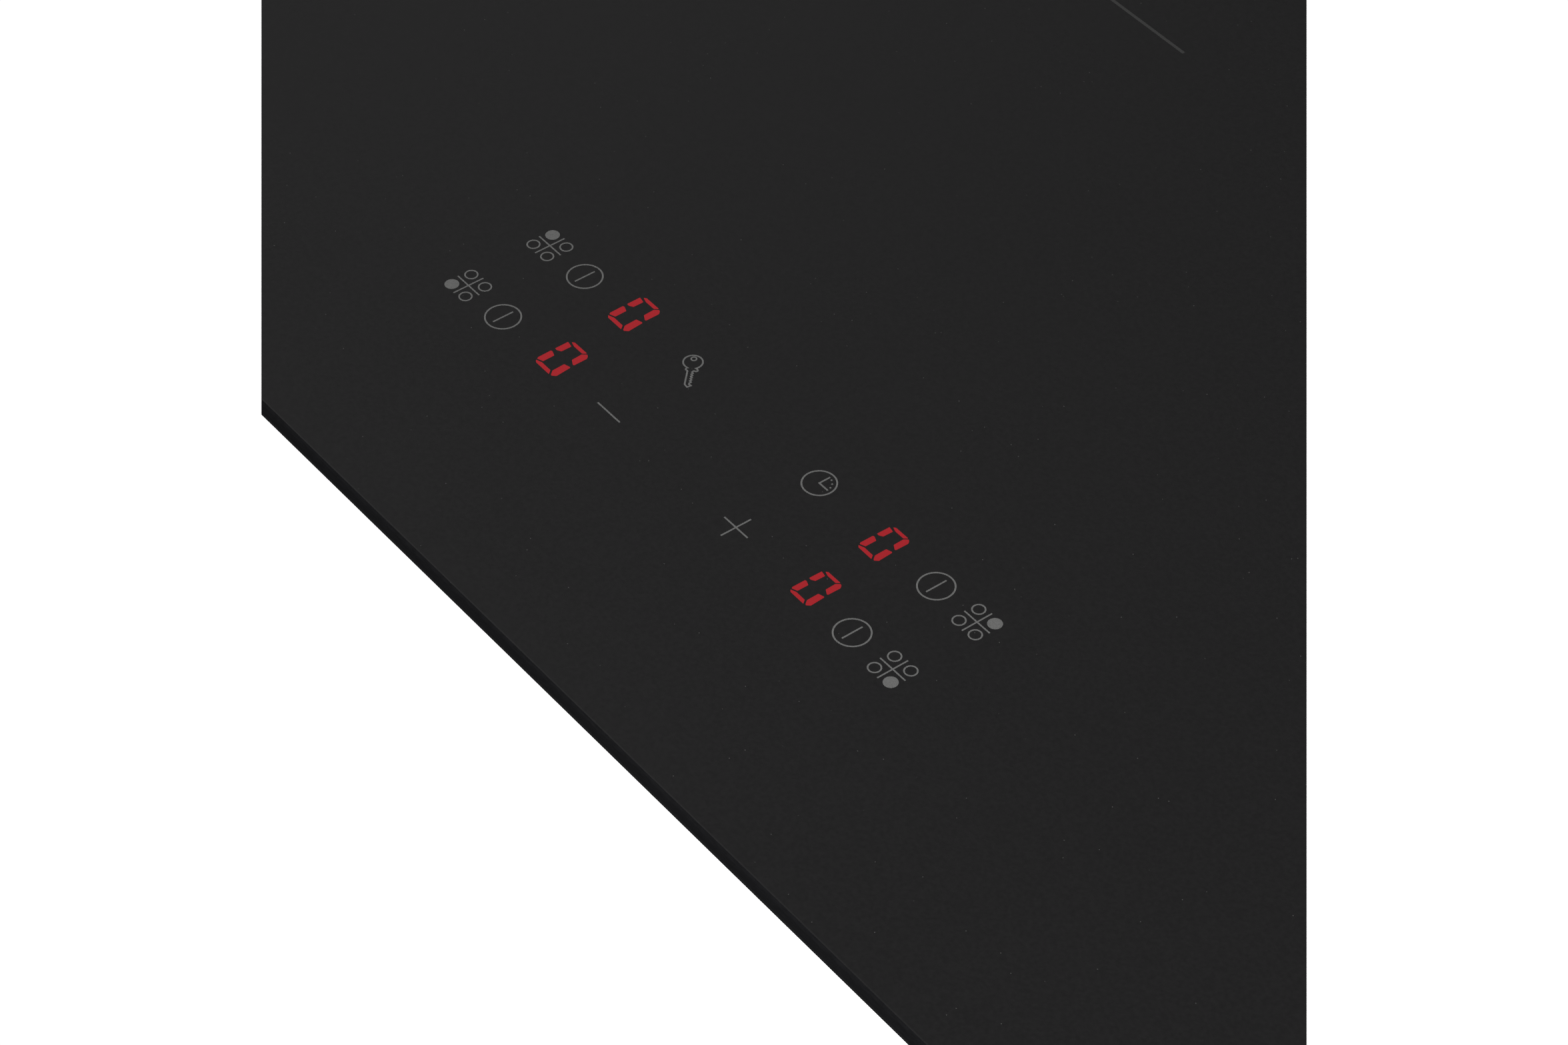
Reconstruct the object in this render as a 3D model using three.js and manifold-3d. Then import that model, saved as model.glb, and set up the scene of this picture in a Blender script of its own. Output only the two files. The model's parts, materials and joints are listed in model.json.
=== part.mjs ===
// Built-in electric induction cooktop with four zones and touch controls.
// Millimetres, +Z up, +X to the right and -Y towards the cook. The origin is the centre of the
// object's footprint, on the surface that the lower case stands on.
import * as THREE from 'three';
import { mergeVertices } from 'three/addons/utils/BufferGeometryUtils.js';
import Module from 'manifold-3d';

const wasm = await Module();
wasm.setup();

// ---------------------------------------------------------------- driving dimensions

const HEIGHT = 52; // lower case's floor to the cooking surface
const GLASS = { width: 590, depth: 520, thickness: 4, corner: 5, chamfer: 0.85 };
const SEAL = { thickness: 1.33, width: 9 };
const GLUE = 0.05; // bond line between the plate and what is glued under it
const GAP = 0.3; // clearance between pieces that are assembled into each other

const CASE = {
  halfWidth: 278,
  front: -230,
  rear: 240,
  sheet: 1,
  top: 46.4,
  shelf: 16, // underside of the shallow front and rear shelves
  frontStep: -165,
  rearStep: 185,
  slope: 8, // run of the slanted wall between a shelf and the deep floor
};
const VENT_WIDTH = 3.5;
const FRAME = { thickness: 1.2, overhang: 6, ledge: 10, skirt: 8 };
const TRAY = { top: 34.7, sheet: 1.3, inner: 6, outer: 272, front: -156, rear: 234 };
const ZONE_X = 148;
const FRONT_ZONE_Y = -60;
const REAR_ZONE_Y = 128;
const ZONES = [
  { name: 'front_left', x: -ZONE_X, y: FRONT_ZONE_Y, coilRadius: 88 },
  { name: 'rear_left', x: -ZONE_X, y: REAR_ZONE_Y, coilRadius: 88 },
  { name: 'rear_right', x: ZONE_X, y: REAR_ZONE_Y, coilRadius: 103 },
  { name: 'front_right', x: ZONE_X, y: FRONT_ZONE_Y, coilRadius: 70 },
];

// Touch controls, from the middle of the plate and from its front face.
const KEY_ROW_FRONT = -GLASS.depth / 2 + 71.5;
const KEY_ROW_REAR = -GLASS.depth / 2 + 99.2;
const POWER_KEY_X = 77.2;
const SETTING_KEY_X = 28.1;
const DISPLAY = { width: 13, depth: 19, height: 3.4 };
const DISPLAYS = [
  { name: 'front_left', x: -53.2, y: -185.7 },
  { name: 'rear_left', x: -56, y: -159.3 },
  { name: 'rear_right', x: 56.7, y: -161.6 },
  { name: 'front_right', x: 58.9, y: -185.8 },
];

const SIDES = [
  { name: 'left', sign: -1 },
  { name: 'right', sign: 1 },
];
const FAN = { x: 50.5, y: 30, size: 76, height: 25, base: 2.2, wall: 2, inlet: 24, blades: 18 };
const TERMINAL_X = 190;
const GLAND = { x: 243, z: 28.6, bore: 5.5, neck: 7.2, flange: 10 };
const COVER = {
  width: 72,
  top: 43.8,
  sill: 21.5, // lower edge of the terminal opening and of the cover's plate
  sheet: 2,
  hingeY: 243,
  hingeZ: 18,
  barrel: 2.6,
  bore: 1.5,
  pin: 1.2,
  lug: 2.3,
};
const CLAMP = { x: 215, front: -205, rear: 212, reach: 54, width: 14, sheet: 2, lift: 7, tab: 5 };
const CLAMPS = [
  { name: 'front_left', x: -CLAMP.x, y: CLAMP.front, turn: 0 },
  { name: 'front_right', x: CLAMP.x, y: CLAMP.front, turn: Math.PI },
  { name: 'rear_left', x: -CLAMP.x, y: CLAMP.rear, turn: 0 },
  { name: 'rear_right', x: CLAMP.x, y: CLAMP.rear, turn: Math.PI },
];
const CASE_SCREW = { front: -130, rear: 150, z: 42.3, hole: 1.8 };
const CASE_SCREWS = [
  { name: 'left_front', sign: -1, y: CASE_SCREW.front },
  { name: 'left_rear', sign: -1, y: CASE_SCREW.rear },
  { name: 'right_front', sign: 1, y: CASE_SCREW.front },
  { name: 'right_rear', sign: 1, y: CASE_SCREW.rear },
];

const GLASS_UNDERSIDE = HEIGHT - GLASS.thickness;
const ROUND_FINE = 32; // sides of a large round shape
const ROUND_SMALL = 12;
const ROUND_TINY = 8;
const WELD = 1e-4; // vertices closer than this are one

// ---------------------------------------------------------------- materials

const finish = (color, roughness, metalness = 0) =>
  new THREE.MeshStandardMaterial({ color, roughness, metalness });
const blackGlass = finish('#1d1c1d', 0.3);
const blackFoam = finish('#232223', 0.9);
const galvanised = finish('#a9adb0', 0.45, 0.9);
const zincSteel = finish('#c2c4c6', 0.35, 1);
const aluminium = finish('#c9cccf', 0.4, 1);
const copper = finish('#a6562f', 0.45, 0.9);
const ferrite = finish('#2c2d30', 0.8);
const blackPlastic = finish('#1c1d1f', 0.6);
const whitePlastic = finish('#e4e2db', 0.55);
const mica = finish('#b9ab8a', 0.6);
const circuitGreen = finish('#1f5a36', 0.5);
const displayRed = finish('#5a1416', 0.35);
const foamGrey = finish('#56585b', 0.95);

// ---------------------------------------------------------------- solids

function solid(geometry) {
  const bare = geometry.clone();
  bare.deleteAttribute('normal');
  bare.deleteAttribute('uv');
  const merged = mergeVertices(bare, WELD);
  return new wasm.Manifold(
    new wasm.Mesh({
      numProp: 3,
      vertProperties: new Float32Array(merged.attributes.position.array),
      triVerts: new Uint32Array(merged.index.array),
    }),
  );
}

function geometryOf(body) {
  const mesh = body.getMesh();
  const geometry = new THREE.BufferGeometry();
  geometry.setAttribute('position', new THREE.BufferAttribute(mesh.vertProperties, 3));
  geometry.setIndex(new THREE.BufferAttribute(mesh.triVerts, 1));
  geometry.computeVertexNormals();
  return geometry;
}

function block(x0, x1, y0, y1, z0, z1) {
  const geometry = new THREE.BoxGeometry(x1 - x0, y1 - y0, z1 - z0);
  geometry.translate((x0 + x1) / 2, (y0 + y1) / 2, (z0 + z1) / 2);
  return solid(geometry);
}

function rod(radius, x, y, z0, z1, sides = ROUND_SMALL) {
  const geometry = new THREE.CylinderGeometry(radius, radius, z1 - z0, sides);
  geometry.rotateX(Math.PI / 2);
  geometry.translate(x, y, (z0 + z1) / 2);
  return solid(geometry);
}

function rodAlongX(radius, x0, x1, y, z, sides = ROUND_SMALL) {
  const geometry = new THREE.CylinderGeometry(radius, radius, x1 - x0, sides);
  geometry.rotateZ(Math.PI / 2);
  geometry.translate((x0 + x1) / 2, y, z);
  return solid(geometry);
}

function rodAlongY(radius, x, y0, y1, z, sides = ROUND_SMALL) {
  const geometry = new THREE.CylinderGeometry(radius, radius, y1 - y0, sides);
  geometry.translate(x, (y0 + y1) / 2, z);
  return solid(geometry);
}

// A body of revolution about +Z from [radius, z] points that run anticlockwise round its section.
function turned(section, sides = ROUND_FINE) {
  const points = section.map(([radius, z]) => new THREE.Vector2(radius, z));
  if (points.every((point) => point.x > 0)) points.push(points[0].clone());
  const geometry = new THREE.LatheGeometry(points, sides);
  geometry.rotateX(Math.PI / 2);
  return geometry;
}

function roundedRectangle(width, depth, corner, Path = THREE.Shape) {
  const x = width / 2 - corner;
  const y = depth / 2 - corner;
  const outline = new Path();
  outline.absarc(x, -y, corner, -Math.PI / 2, 0, false);
  outline.absarc(x, y, corner, 0, Math.PI / 2, false);
  outline.absarc(-x, y, corner, Math.PI / 2, Math.PI, false);
  outline.absarc(-x, -y, corner, Math.PI, 1.5 * Math.PI, false);
  outline.closePath();
  return outline;
}

// A flat plate with rounded corners, standing on z = 0 round the origin.
function roundedSlab(width, depth, corner, thickness) {
  return new THREE.ExtrudeGeometry(roundedRectangle(width, depth, corner), {
    depth: thickness,
    bevelEnabled: false,
    curveSegments: 2,
  });
}

// Joins several bodies into one.
const joined = (bodies) => bodies.reduce((whole, body) => whole.add(body));
// Cuts several bodies out of one.
const cut = (whole, bodies) => bodies.reduce((rest, body) => rest.subtract(body), whole);
// Evenly spaced values from first to last.
const spaced = (first, last, count) =>
  Array.from({ length: count }, (_, i) => first + ((last - first) * i) / (count - 1));

// ---------------------------------------------------------------- assembly

const cooktop = new THREE.Group();
cooktop.name = 'induction_cooktop';

function addPart(name, geometry, material, parent = cooktop) {
  const mesh = new THREE.Mesh(geometry, material);
  mesh.name = name;
  parent.add(mesh);
  return mesh;
}

function addGroup(x, y, z, turn = 0) {
  const group = new THREE.Group();
  group.position.set(x, y, z);
  group.rotation.z = turn;
  cooktop.add(group);
  return group;
}

// The plate is one slab whose upper edge is ground to a chamfer all round.
function glassPlate() {
  const { width, depth, thickness, corner, chamfer } = GLASS;
  const outline = roundedRectangle(width - 2 * chamfer, depth - 2 * chamfer, corner - chamfer);
  const slab = new THREE.ExtrudeGeometry(outline, {
    depth: thickness,
    bevelThickness: chamfer,
    bevelSize: chamfer,
    bevelSegments: 1,
    curveSegments: 3,
  });
  slab.translate(0, 0, HEIGHT - thickness - chamfer);
  const keep = block(-width, width, -depth, depth, GLASS_UNDERSIDE, HEIGHT + 1);
  return geometryOf(solid(slab).intersect(keep));
}

// The foam gasket follows the plate's edge and lies flush with it.
function perimeterSeal() {
  const { width, depth, corner } = GLASS;
  const outline = roundedRectangle(width, depth, corner);
  const inner = 2 * SEAL.width;
  outline.holes.push(roundedRectangle(width - inner, depth - inner, 2, THREE.Path));
  const ring = new THREE.ExtrudeGeometry(outline, {
    depth: SEAL.thickness,
    bevelEnabled: false,
    curveSegments: 3,
  });
  ring.translate(0, 0, GLASS_UNDERSIDE - GLUE / 2 - SEAL.thickness);
  return ring;
}

function caseScrewHoles(wallX) {
  return CASE_SCREWS.map(({ sign, y }) => {
    const x = sign * wallX;
    return rodAlongX(CASE_SCREW.hole, x - 4, x + 4, y, CASE_SCREW.z, ROUND_TINY);
  });
}

// A flat ring under the plate with a skirt that reaches down inside the case's walls.
function supportFrame() {
  const { thickness, overhang, ledge, skirt } = FRAME;
  const top = GLASS_UNDERSIDE - GLUE;
  const fit = CASE.sheet + 0.4;
  const skirtX = CASE.halfWidth - fit;
  const skirtFront = CASE.front + fit;
  const skirtRear = CASE.rear - fit;
  const outer = CASE.halfWidth + overhang;
  const flat = block(-outer, outer, CASE.front - overhang, CASE.rear + overhang, top - thickness, top);
  const skirtBody = block(-skirtX, skirtX, skirtFront, skirtRear, top - skirt, top - thickness / 2);
  const skirtInside = block(
    -skirtX + thickness,
    skirtX - thickness,
    skirtFront + thickness,
    skirtRear - thickness,
    top - skirt - 1,
    top - thickness,
  );
  const opening = block(
    -skirtX + ledge,
    skirtX - ledge,
    skirtFront + ledge,
    skirtRear - 3,
    top - skirt - 1,
    top + 1,
  );
  return geometryOf(cut(flat.add(skirtBody), [skirtInside, opening, ...caseScrewHoles(skirtX)]));
}

// Side profile of the case, deep in the middle and shallow under the front and rear edges.
function caseProfile(inset) {
  const front = CASE.front + inset;
  const rear = CASE.rear - inset;
  const top = CASE.top + inset;
  const shape = new THREE.Shape();
  shape.moveTo(front, top);
  shape.lineTo(front, CASE.shelf + inset);
  shape.lineTo(CASE.frontStep + 0.6 * inset, CASE.shelf + inset);
  shape.lineTo(CASE.frontStep + CASE.slope + 0.6 * inset, inset);
  shape.lineTo(CASE.rearStep - CASE.slope - 0.6 * inset, inset);
  shape.lineTo(CASE.rearStep - 0.6 * inset, CASE.shelf + inset);
  shape.lineTo(rear, CASE.shelf + inset);
  shape.lineTo(rear, top);
  shape.closePath();
  return shape;
}

function caseBody(inset) {
  const width = 2 * (CASE.halfWidth - inset);
  const body = new THREE.ExtrudeGeometry(caseProfile(inset), { depth: width, bevelEnabled: false });
  body.translate(0, 0, -width / 2);
  // The profile is drawn in (Y, Z) and pushed along X.
  body.applyMatrix4(new THREE.Matrix4().set(0, 0, 1, 0, 1, 0, 0, 0, 0, 1, 0, 0, 0, 0, 0, 1));
  return solid(body);
}

// Two banks of upright slots run through both side walls.
function sideVents() {
  const rows = [...spaced(-104, -34, 8), ...spaced(36, 106, 8)];
  const reach = CASE.halfWidth + 2;
  const half = VENT_WIDTH / 2;
  return rows.map((y) => block(-reach, reach, y - half, y + half, 14, 32));
}

// Two rows of lying slots in the front wall, left and right of the touch controls.
function frontVents() {
  const columns = [...spaced(-210, -82, 5), ...spaced(82, 210, 5)];
  const { front } = CASE;
  return columns.map((x) => block(x - 12, x + 12, front - 2, front + 2, 24, 24 + VENT_WIDTH));
}

// Radial slots under each fan's inlet.
function fanInletSlots() {
  const slots = [];
  for (const { sign } of SIDES) {
    for (let i = 0; i < 8; i += 1) {
      const slot = new THREE.BoxGeometry(14, 4, 4);
      slot.translate(15.5, 0, 0);
      slot.rotateZ((i * Math.PI) / 4);
      slot.translate(sign * FAN.x, FAN.y, CASE.sheet / 2);
      slots.push(solid(slot));
    }
  }
  return slots;
}

// Two lugs on the rear wall hold the terminal cover's hinge pin.
function hingeLugs() {
  return SIDES.map(({ sign }) => {
    const x = TERMINAL_X + sign * 31;
    const rear = COVER.hingeY + COVER.lug;
    return block(x - 3, x + 3, CASE.rear - 0.5, rear, CASE.shelf, COVER.hingeZ + COVER.lug);
  });
}

function lowerCase() {
  const shell = caseBody(0).subtract(caseBody(CASE.sheet));
  const openings = [
    ...sideVents(),
    ...frontVents(),
    ...fanInletSlots(),
    block(TERMINAL_X - 26, TERMINAL_X + 26, CASE.rear - 4, CASE.rear + 1, COVER.sill, 41.5),
    rodAlongX(COVER.bore, TERMINAL_X - 40, TERMINAL_X + 40, COVER.hingeY, COVER.hingeZ),
    rodAlongY(GLAND.neck + GAP, GLAND.x, CASE.rear - 4, CASE.rear + 4, GLAND.z, 16),
    ...CLAMPS.map(({ x, y }) => rod(2.3, x, y, CASE.shelf - 2, CASE.shelf + 4, ROUND_TINY)),
    ...caseScrewHoles(CASE.halfWidth),
  ];
  return geometryOf(cut(joined([shell, ...hingeLugs()]), openings));
}

// A pan-head screw along +Z: the shank points up from a head at z = 0.
function screw(headRadius, headHeight, shankRadius, length) {
  return turned(
    [
      [0, -headHeight],
      [headRadius * 0.7, -headHeight],
      [headRadius, -headHeight * 0.55],
      [headRadius, 0],
      [shankRadius, 0],
      [shankRadius, length - shankRadius],
      [0, length],
    ],
    10,
  );
}

// ---------------------------------------------------------------- cooking zones

function coilTray(zones, mirror) {
  const { top, sheet, inner, outer, front, rear } = TRAY;
  const across = (a, b) => (mirror > 0 ? [a, b] : [-b, -a]);
  const plate = block(...across(inner, outer), front, rear, top - sheet, top);
  const legs = [-120, 146].flatMap((y) => [
    block(...across(inner, inner + sheet), y - 12, y + 12, CASE.sheet + GAP, top - sheet / 2),
    block(...across(outer - sheet, outer), y - 12, y + 12, CASE.sheet + GAP, top - sheet / 2),
  ]);
  const leadHoles = zones.map(({ x, y }) => rod(5, x, y, top - 5, top + 5));
  const ventSlots = [-20, 0, 20].map((x) =>
    block(mirror * ZONE_X + x - 4, mirror * ZONE_X + x + 4, 22, 30, top - 5, top + 5),
  );
  return geometryOf(cut(joined([plate, ...legs]), [...leadHoles, ...ventSlots]));
}

function micaSheet(zones, mirror) {
  const top = GLASS_UNDERSIDE - GAP;
  const [x0, x1] = mirror > 0 ? [20, 262] : [-262, -20];
  const sheet = block(x0, x1, -148, 230, top - 0.5, top);
  return geometryOf(cut(sheet, zones.map(({ x, y }) => rod(12, x, y, top - 2, top + 2, 16))));
}

const WINDING = { inner: 25.5, top: 46.6 };
const FORMER = { bottom: 40.3, floor: 1.8, bore: 12, collar: 22.5, wall: 1.6, rimHeight: 4 };

function winding(radius) {
  const bottom = FORMER.bottom + FORMER.floor + GAP;
  return turned([
    [WINDING.inner, bottom],
    [radius, bottom],
    [radius, WINDING.top - 1],
    [radius - 1, WINDING.top],
    [WINDING.inner, WINDING.top],
  ]);
}

// A dish with a rim outside the winding and a collar inside it.
function former(radius) {
  const rim = radius + 4;
  const floor = FORMER.bottom + FORMER.floor;
  const collarTop = WINDING.top - 0.6;
  return turned([
    [FORMER.bore, FORMER.bottom],
    [rim, FORMER.bottom],
    [rim, FORMER.bottom + FORMER.rimHeight],
    [rim - FORMER.wall, FORMER.bottom + FORMER.rimHeight],
    [rim - FORMER.wall, floor],
    [FORMER.collar + FORMER.wall, floor],
    [FORMER.collar + FORMER.wall, collarTop],
    [FORMER.collar, collarTop],
    [FORMER.collar, floor],
    [FORMER.bore, floor],
  ]);
}

// Eight ferrite bars that meet in a hub under the former.
function ferriteStar(radius) {
  const bottom = TRAY.top + 0.5;
  const top = FORMER.bottom - GAP;
  const hubRadius = 22;
  const length = radius - hubRadius;
  const bars = spaced(0, 1.75 * Math.PI, 8).map((angle) => {
    const bar = new THREE.BoxGeometry(length, 12, top - bottom);
    bar.translate(length / 2 + 16, 0, (top + bottom) / 2);
    bar.rotateZ(angle);
    return solid(bar);
  });
  const hub = rod(hubRadius, 0, 0, bottom, top, ROUND_SMALL);
  const bore = rod(13, 0, 0, bottom - 1, top + 1, ROUND_SMALL);
  return geometryOf(joined([hub, ...bars]).subtract(bore));
}

// A sprung capsule that presses the temperature sensor against the plate.
function sensor() {
  const foot = TRAY.top + 0.2;
  return turned(
    [
      [0, foot],
      [10.5, foot],
      [10.5, foot + 1.4],
      [7, foot + 2.2],
      [7, GLASS_UNDERSIDE - 2.2],
      [5, GLASS_UNDERSIDE - 0.4],
      [0, GLASS_UNDERSIDE - 0.4],
    ],
    ROUND_SMALL,
  );
}

function addZone({ name, x, y, coilRadius }) {
  const zone = addGroup(x, y, 0);
  addPart(`coil_winding_${name}`, winding(coilRadius), copper, zone);
  addPart(`coil_former_${name}`, former(coilRadius), whitePlastic, zone);
  addPart(`ferrite_star_${name}`, ferriteStar(coilRadius), ferrite, zone);
  addPart(`zone_sensor_${name}`, sensor(), zincSteel, zone);
}

// ---------------------------------------------------------------- power electronics

const BOARD = { inner: 100, outer: 262, front: -136, rear: 106, bottom: 8.3, thickness: 1.6, edge: 2 };

function boardCarrier(mirror) {
  const { inner, outer, front, rear, bottom } = BOARD;
  const floor = CASE.sheet + GAP;
  const across = (a, b) => (mirror > 0 ? [a, b] : [-b, -a]);
  const plate = block(...across(inner, outer), front, rear, floor, floor + 2);
  const posts = [inner + 12, outer - 12].flatMap((x) =>
    [front + 12, rear - 12].map((y) => rod(4, mirror * x, y, floor + 1, bottom - GAP, 8)),
  );
  const window = block(...across(inner + 30, outer - 30), front + 30, rear - 30, 0, floor + 4);
  return geometryOf(joined([plate, ...posts]).subtract(window));
}

function powerBoard(mirror) {
  const { inner, outer, front, rear, bottom, thickness, edge } = BOARD;
  const board = roundedSlab(outer - inner - 2 * edge, rear - front - 2 * edge, 3, thickness);
  board.translate((mirror * (inner + outer)) / 2, (front + rear) / 2, bottom);
  return board;
}

// An extruded heatsink, with its fins upright along Y.
function heatsink() {
  const width = 46;
  const length = 200;
  const base = 4;
  const height = 21;
  const fins = 8;
  const finWidth = 1.8;
  const pitch = (width - finWidth) / (fins - 1);
  const shape = new THREE.Shape();
  shape.moveTo(-width / 2, 0);
  shape.lineTo(width / 2, 0);
  for (let i = fins - 1; i >= 0; i -= 1) {
    const left = -width / 2 + i * pitch;
    shape.lineTo(left + finWidth, height);
    shape.lineTo(left, height);
    if (i > 0) {
      shape.lineTo(left, base);
      shape.lineTo(left - pitch + finWidth, base);
    }
  }
  shape.closePath();
  const body = new THREE.ExtrudeGeometry(shape, { depth: length, bevelEnabled: false });
  body.rotateX(Math.PI / 2);
  body.translate(0, length / 2, 0);
  return body;
}

// ---------------------------------------------------------------- cooling fans

// A volute with an inlet below, an outlet on one side and a fixed spindle in the roof.
function fanHousing() {
  const { size, height, wall, inlet } = FAN;
  const half = size / 2;
  const shell = solid(roundedSlab(size, size, 8, height));
  const chamber = rod(half - wall, 0, 0, wall, height - wall, 28);
  const outlet = block(0, half + 1, -half + wall + 3, 6, wall, height - wall);
  const inletHole = rod(inlet, 0, 0, -1, wall + 1, 20);
  const spindle = rod(2, 0, 0, wall + 4, height - wall / 2, 10);
  return geometryOf(cut(shell, [chamber, outlet, inletHole]).add(spindle));
}

// A squirrel-cage impeller that hangs on the spindle.
function fanImpeller() {
  const { size, height, wall, blades } = FAN;
  const roof = height - wall - 1;
  const radius = size / 2 - wall - 3;
  const disc = rod(radius, 0, 0, roof - 1.6, roof, 28);
  const hub = rod(9, 0, 0, roof - 12, roof - 1, 14);
  const ring = rod(radius, 0, 0, wall + 1.5, wall + 3, 28);
  const ringHole = rod(radius - 8, 0, 0, wall, wall + 4, 20);
  const vanes = spaced(0, 2 * Math.PI * (1 - 1 / blades), blades).map((angle) => {
    const vane = new THREE.BoxGeometry(7, 1.1, roof - wall - 2.8);
    vane.rotateZ(0.5);
    vane.translate(radius - 4.2, 0, (roof + wall + 1) / 2);
    vane.rotateZ(angle);
    return solid(vane);
  });
  const bore = rod(2 + GAP, 0, 0, roof - 14, roof + 2, 10);
  return geometryOf(joined([disc, hub, ring.subtract(ringHole), ...vanes]).subtract(bore));
}

function addFan({ name, sign }) {
  const fan = addGroup(sign * FAN.x, FAN.y, FAN.base, sign > 0 ? 0 : Math.PI);
  addPart(`fan_housing_${name}`, fanHousing(), blackPlastic, fan);
  addPart(`fan_impeller_${name}`, fanImpeller(), whitePlastic, fan);
}

// ---------------------------------------------------------------- touch controls

const TOUCH = { halfWidth: 92, front: -205, rear: -144, boardTop: 44.3, boardThickness: 1.6 };

function touchBoard() {
  const { halfWidth, front, rear, boardTop, boardThickness } = TOUCH;
  const board = roundedSlab(2 * halfWidth, rear - front, 3, boardThickness);
  board.translate(0, (front + rear) / 2, boardTop - boardThickness);
  return board;
}

const KEYS = [KEY_ROW_FRONT, KEY_ROW_REAR].flatMap((y) =>
  [-POWER_KEY_X, -SETTING_KEY_X, SETTING_KEY_X, POWER_KEY_X].map((x) => ({ x, y })),
);

// One film carries the conductive foam pads that couple the eight touch keys to the plate.
function touchPads() {
  const bottom = TOUCH.boardTop + 0.05;
  const top = GLASS_UNDERSIDE - GAP;
  const film = block(-86, 86, KEY_ROW_FRONT - 8, KEY_ROW_REAR + 8, bottom, bottom + 0.4);
  const pads = KEYS.map(({ x, y }) => rod(5, x, y, bottom + 0.2, top, ROUND_SMALL));
  const windows = DISPLAYS.map(({ x, y }) => {
    const halfX = DISPLAY.width / 2 + 1;
    const halfY = DISPLAY.depth / 2 + 1;
    return block(x - halfX, x + halfX, y - halfY, y + halfY, bottom - 1, bottom + 2);
  });
  return geometryOf(cut(joined([film, ...pads]), windows));
}

function touchCarrier() {
  const { halfWidth, front, rear, boardTop, boardThickness } = TOUCH;
  const top = boardTop - boardThickness - GAP;
  const floor = top - 7;
  const outer = block(-halfWidth - 3, halfWidth + 3, front - 3, rear + 3, floor, top);
  const inner = block(-halfWidth + 3, halfWidth - 3, front + 3, rear - 3, floor + 2, top + 1);
  const ribs = spaced(-75, 75, 3).map((x) => block(x - 1, x + 1, front, rear, floor + 1, top - 2));
  return geometryOf(joined([outer.subtract(inner), ...ribs]));
}

function displayModule() {
  const { width, depth, height } = DISPLAY;
  const base = block(-width / 2, width / 2, -depth / 2, depth / 2, 0, height - 0.6);
  const face = block(-width / 2 + 1, width / 2 - 1, -depth / 2 + 1, depth / 2 - 1, 0, height);
  return geometryOf(base.add(face));
}

// ---------------------------------------------------------------- mains connection

function terminalBlock() {
  const body = block(-24, 24, 0, 20, 0, 16);
  const upperStep = block(-25, 25, -1, 8, 11, 17);
  const ways = spaced(-19, 19, 5).flatMap((x) => [
    rod(2.6, x, 13, 9, 18, 8),
    rodAlongY(2.4, x, 12, 21, 4.5, 8),
  ]);
  return geometryOf(cut(body.subtract(upperStep), ways));
}

// The cover shuts the terminal opening and turns on the pin along its lower edge.
function terminalCover() {
  const { width, top, sill, sheet, hingeY, hingeZ } = COVER;
  const inside = CASE.rear + 0.4;
  const outside = inside + sheet;
  const half = 27.5; // the barrel ends just inside the lugs
  const barrel = rodAlongX(COVER.barrel, -half, half, hingeY, hingeZ);
  const foot = block(-half, half, inside, outside, hingeZ, sill + 4);
  const plate = block(-width / 2, width / 2, inside, outside, sill, top);
  const rib = block(-width / 2 + 6, width / 2 - 6, outside - 1, outside + 1, top - 3.3, top - 1.3);
  const catchTab = block(-5, 5, CASE.rear - 2, inside + 1, 38, 39.2);
  const bore = rodAlongX(COVER.bore, -half - 1, half + 1, hingeY, hingeZ);
  return geometryOf(joined([barrel, foot, plate, rib, catchTab]).subtract(bore));
}

function hingePin() {
  const pin = rodAlongX(COVER.pin, -35, 35, COVER.hingeY, COVER.hingeZ, 10);
  const head = rodAlongX(COVER.pin + 1, -36.2, -34.6, COVER.hingeY, COVER.hingeZ, 10);
  return geometryOf(pin.add(head));
}

// A snap-in bush: two flanges grip the rear wall and the mains lead passes through its bore.
function cableGland() {
  const wallInside = CASE.sheet + GAP;
  const { bore, neck, flange } = GLAND;
  const bush = turned(
    [
      [bore, -6],
      [neck, -6],
      [flange, -wallInside - 2],
      [flange, -wallInside],
      [neck, -wallInside],
      [neck, GAP],
      [flange, GAP],
      [flange, 3],
      [flange - 2, 8],
      [bore + 0.6, 8],
      [bore, 7.4],
    ],
    16,
  );
  bush.rotateX(-Math.PI / 2);
  return bush;
}

// ---------------------------------------------------------------- worktop clamps

// A flat arm with an upturned grip: its screw goes through the hole at the origin.
function clampArm() {
  const { reach, width, sheet, lift, tab } = CLAMP;
  const shape = new THREE.Shape();
  shape.absarc(0, 0, width / 2, Math.PI / 2, 1.5 * Math.PI, false);
  shape.lineTo(reach, -width / 2);
  shape.lineTo(reach, width / 2);
  shape.closePath();
  const strip = new THREE.ExtrudeGeometry(shape, {
    depth: sheet,
    bevelEnabled: false,
    curveSegments: 4,
  });
  strip.translate(0, 0, lift);
  const grip = block(reach - sheet, reach, -width / 2, width / 2, lift + 1, lift + sheet + tab);
  const hole = rod(2.5, 0, 0, lift - 1, lift + sheet + 1, 10);
  return geometryOf(solid(strip).add(grip).subtract(hole));
}

function addClamp({ name, x, y, turn }) {
  const clamp = addGroup(x, y, 0, turn);
  addPart(`clamp_arm_${name}`, clampArm(), galvanised, clamp);
  const bolt = addPart(`clamp_screw_${name}`, screw(4.4, 3.4, 2, 16), zincSteel, clamp);
  bolt.position.z = CLAMP.lift - GAP;
}

function addCaseScrew({ name, sign, y }) {
  const head = addPart(`case_screw_${name}`, screw(3.4, 1.9, 1.5, 6), zincSteel);
  head.rotation.y = (-sign * Math.PI) / 2;
  head.position.set(sign * (CASE.halfWidth + GAP), y, CASE_SCREW.z);
}

// ---------------------------------------------------------------- the whole cooktop

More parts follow.
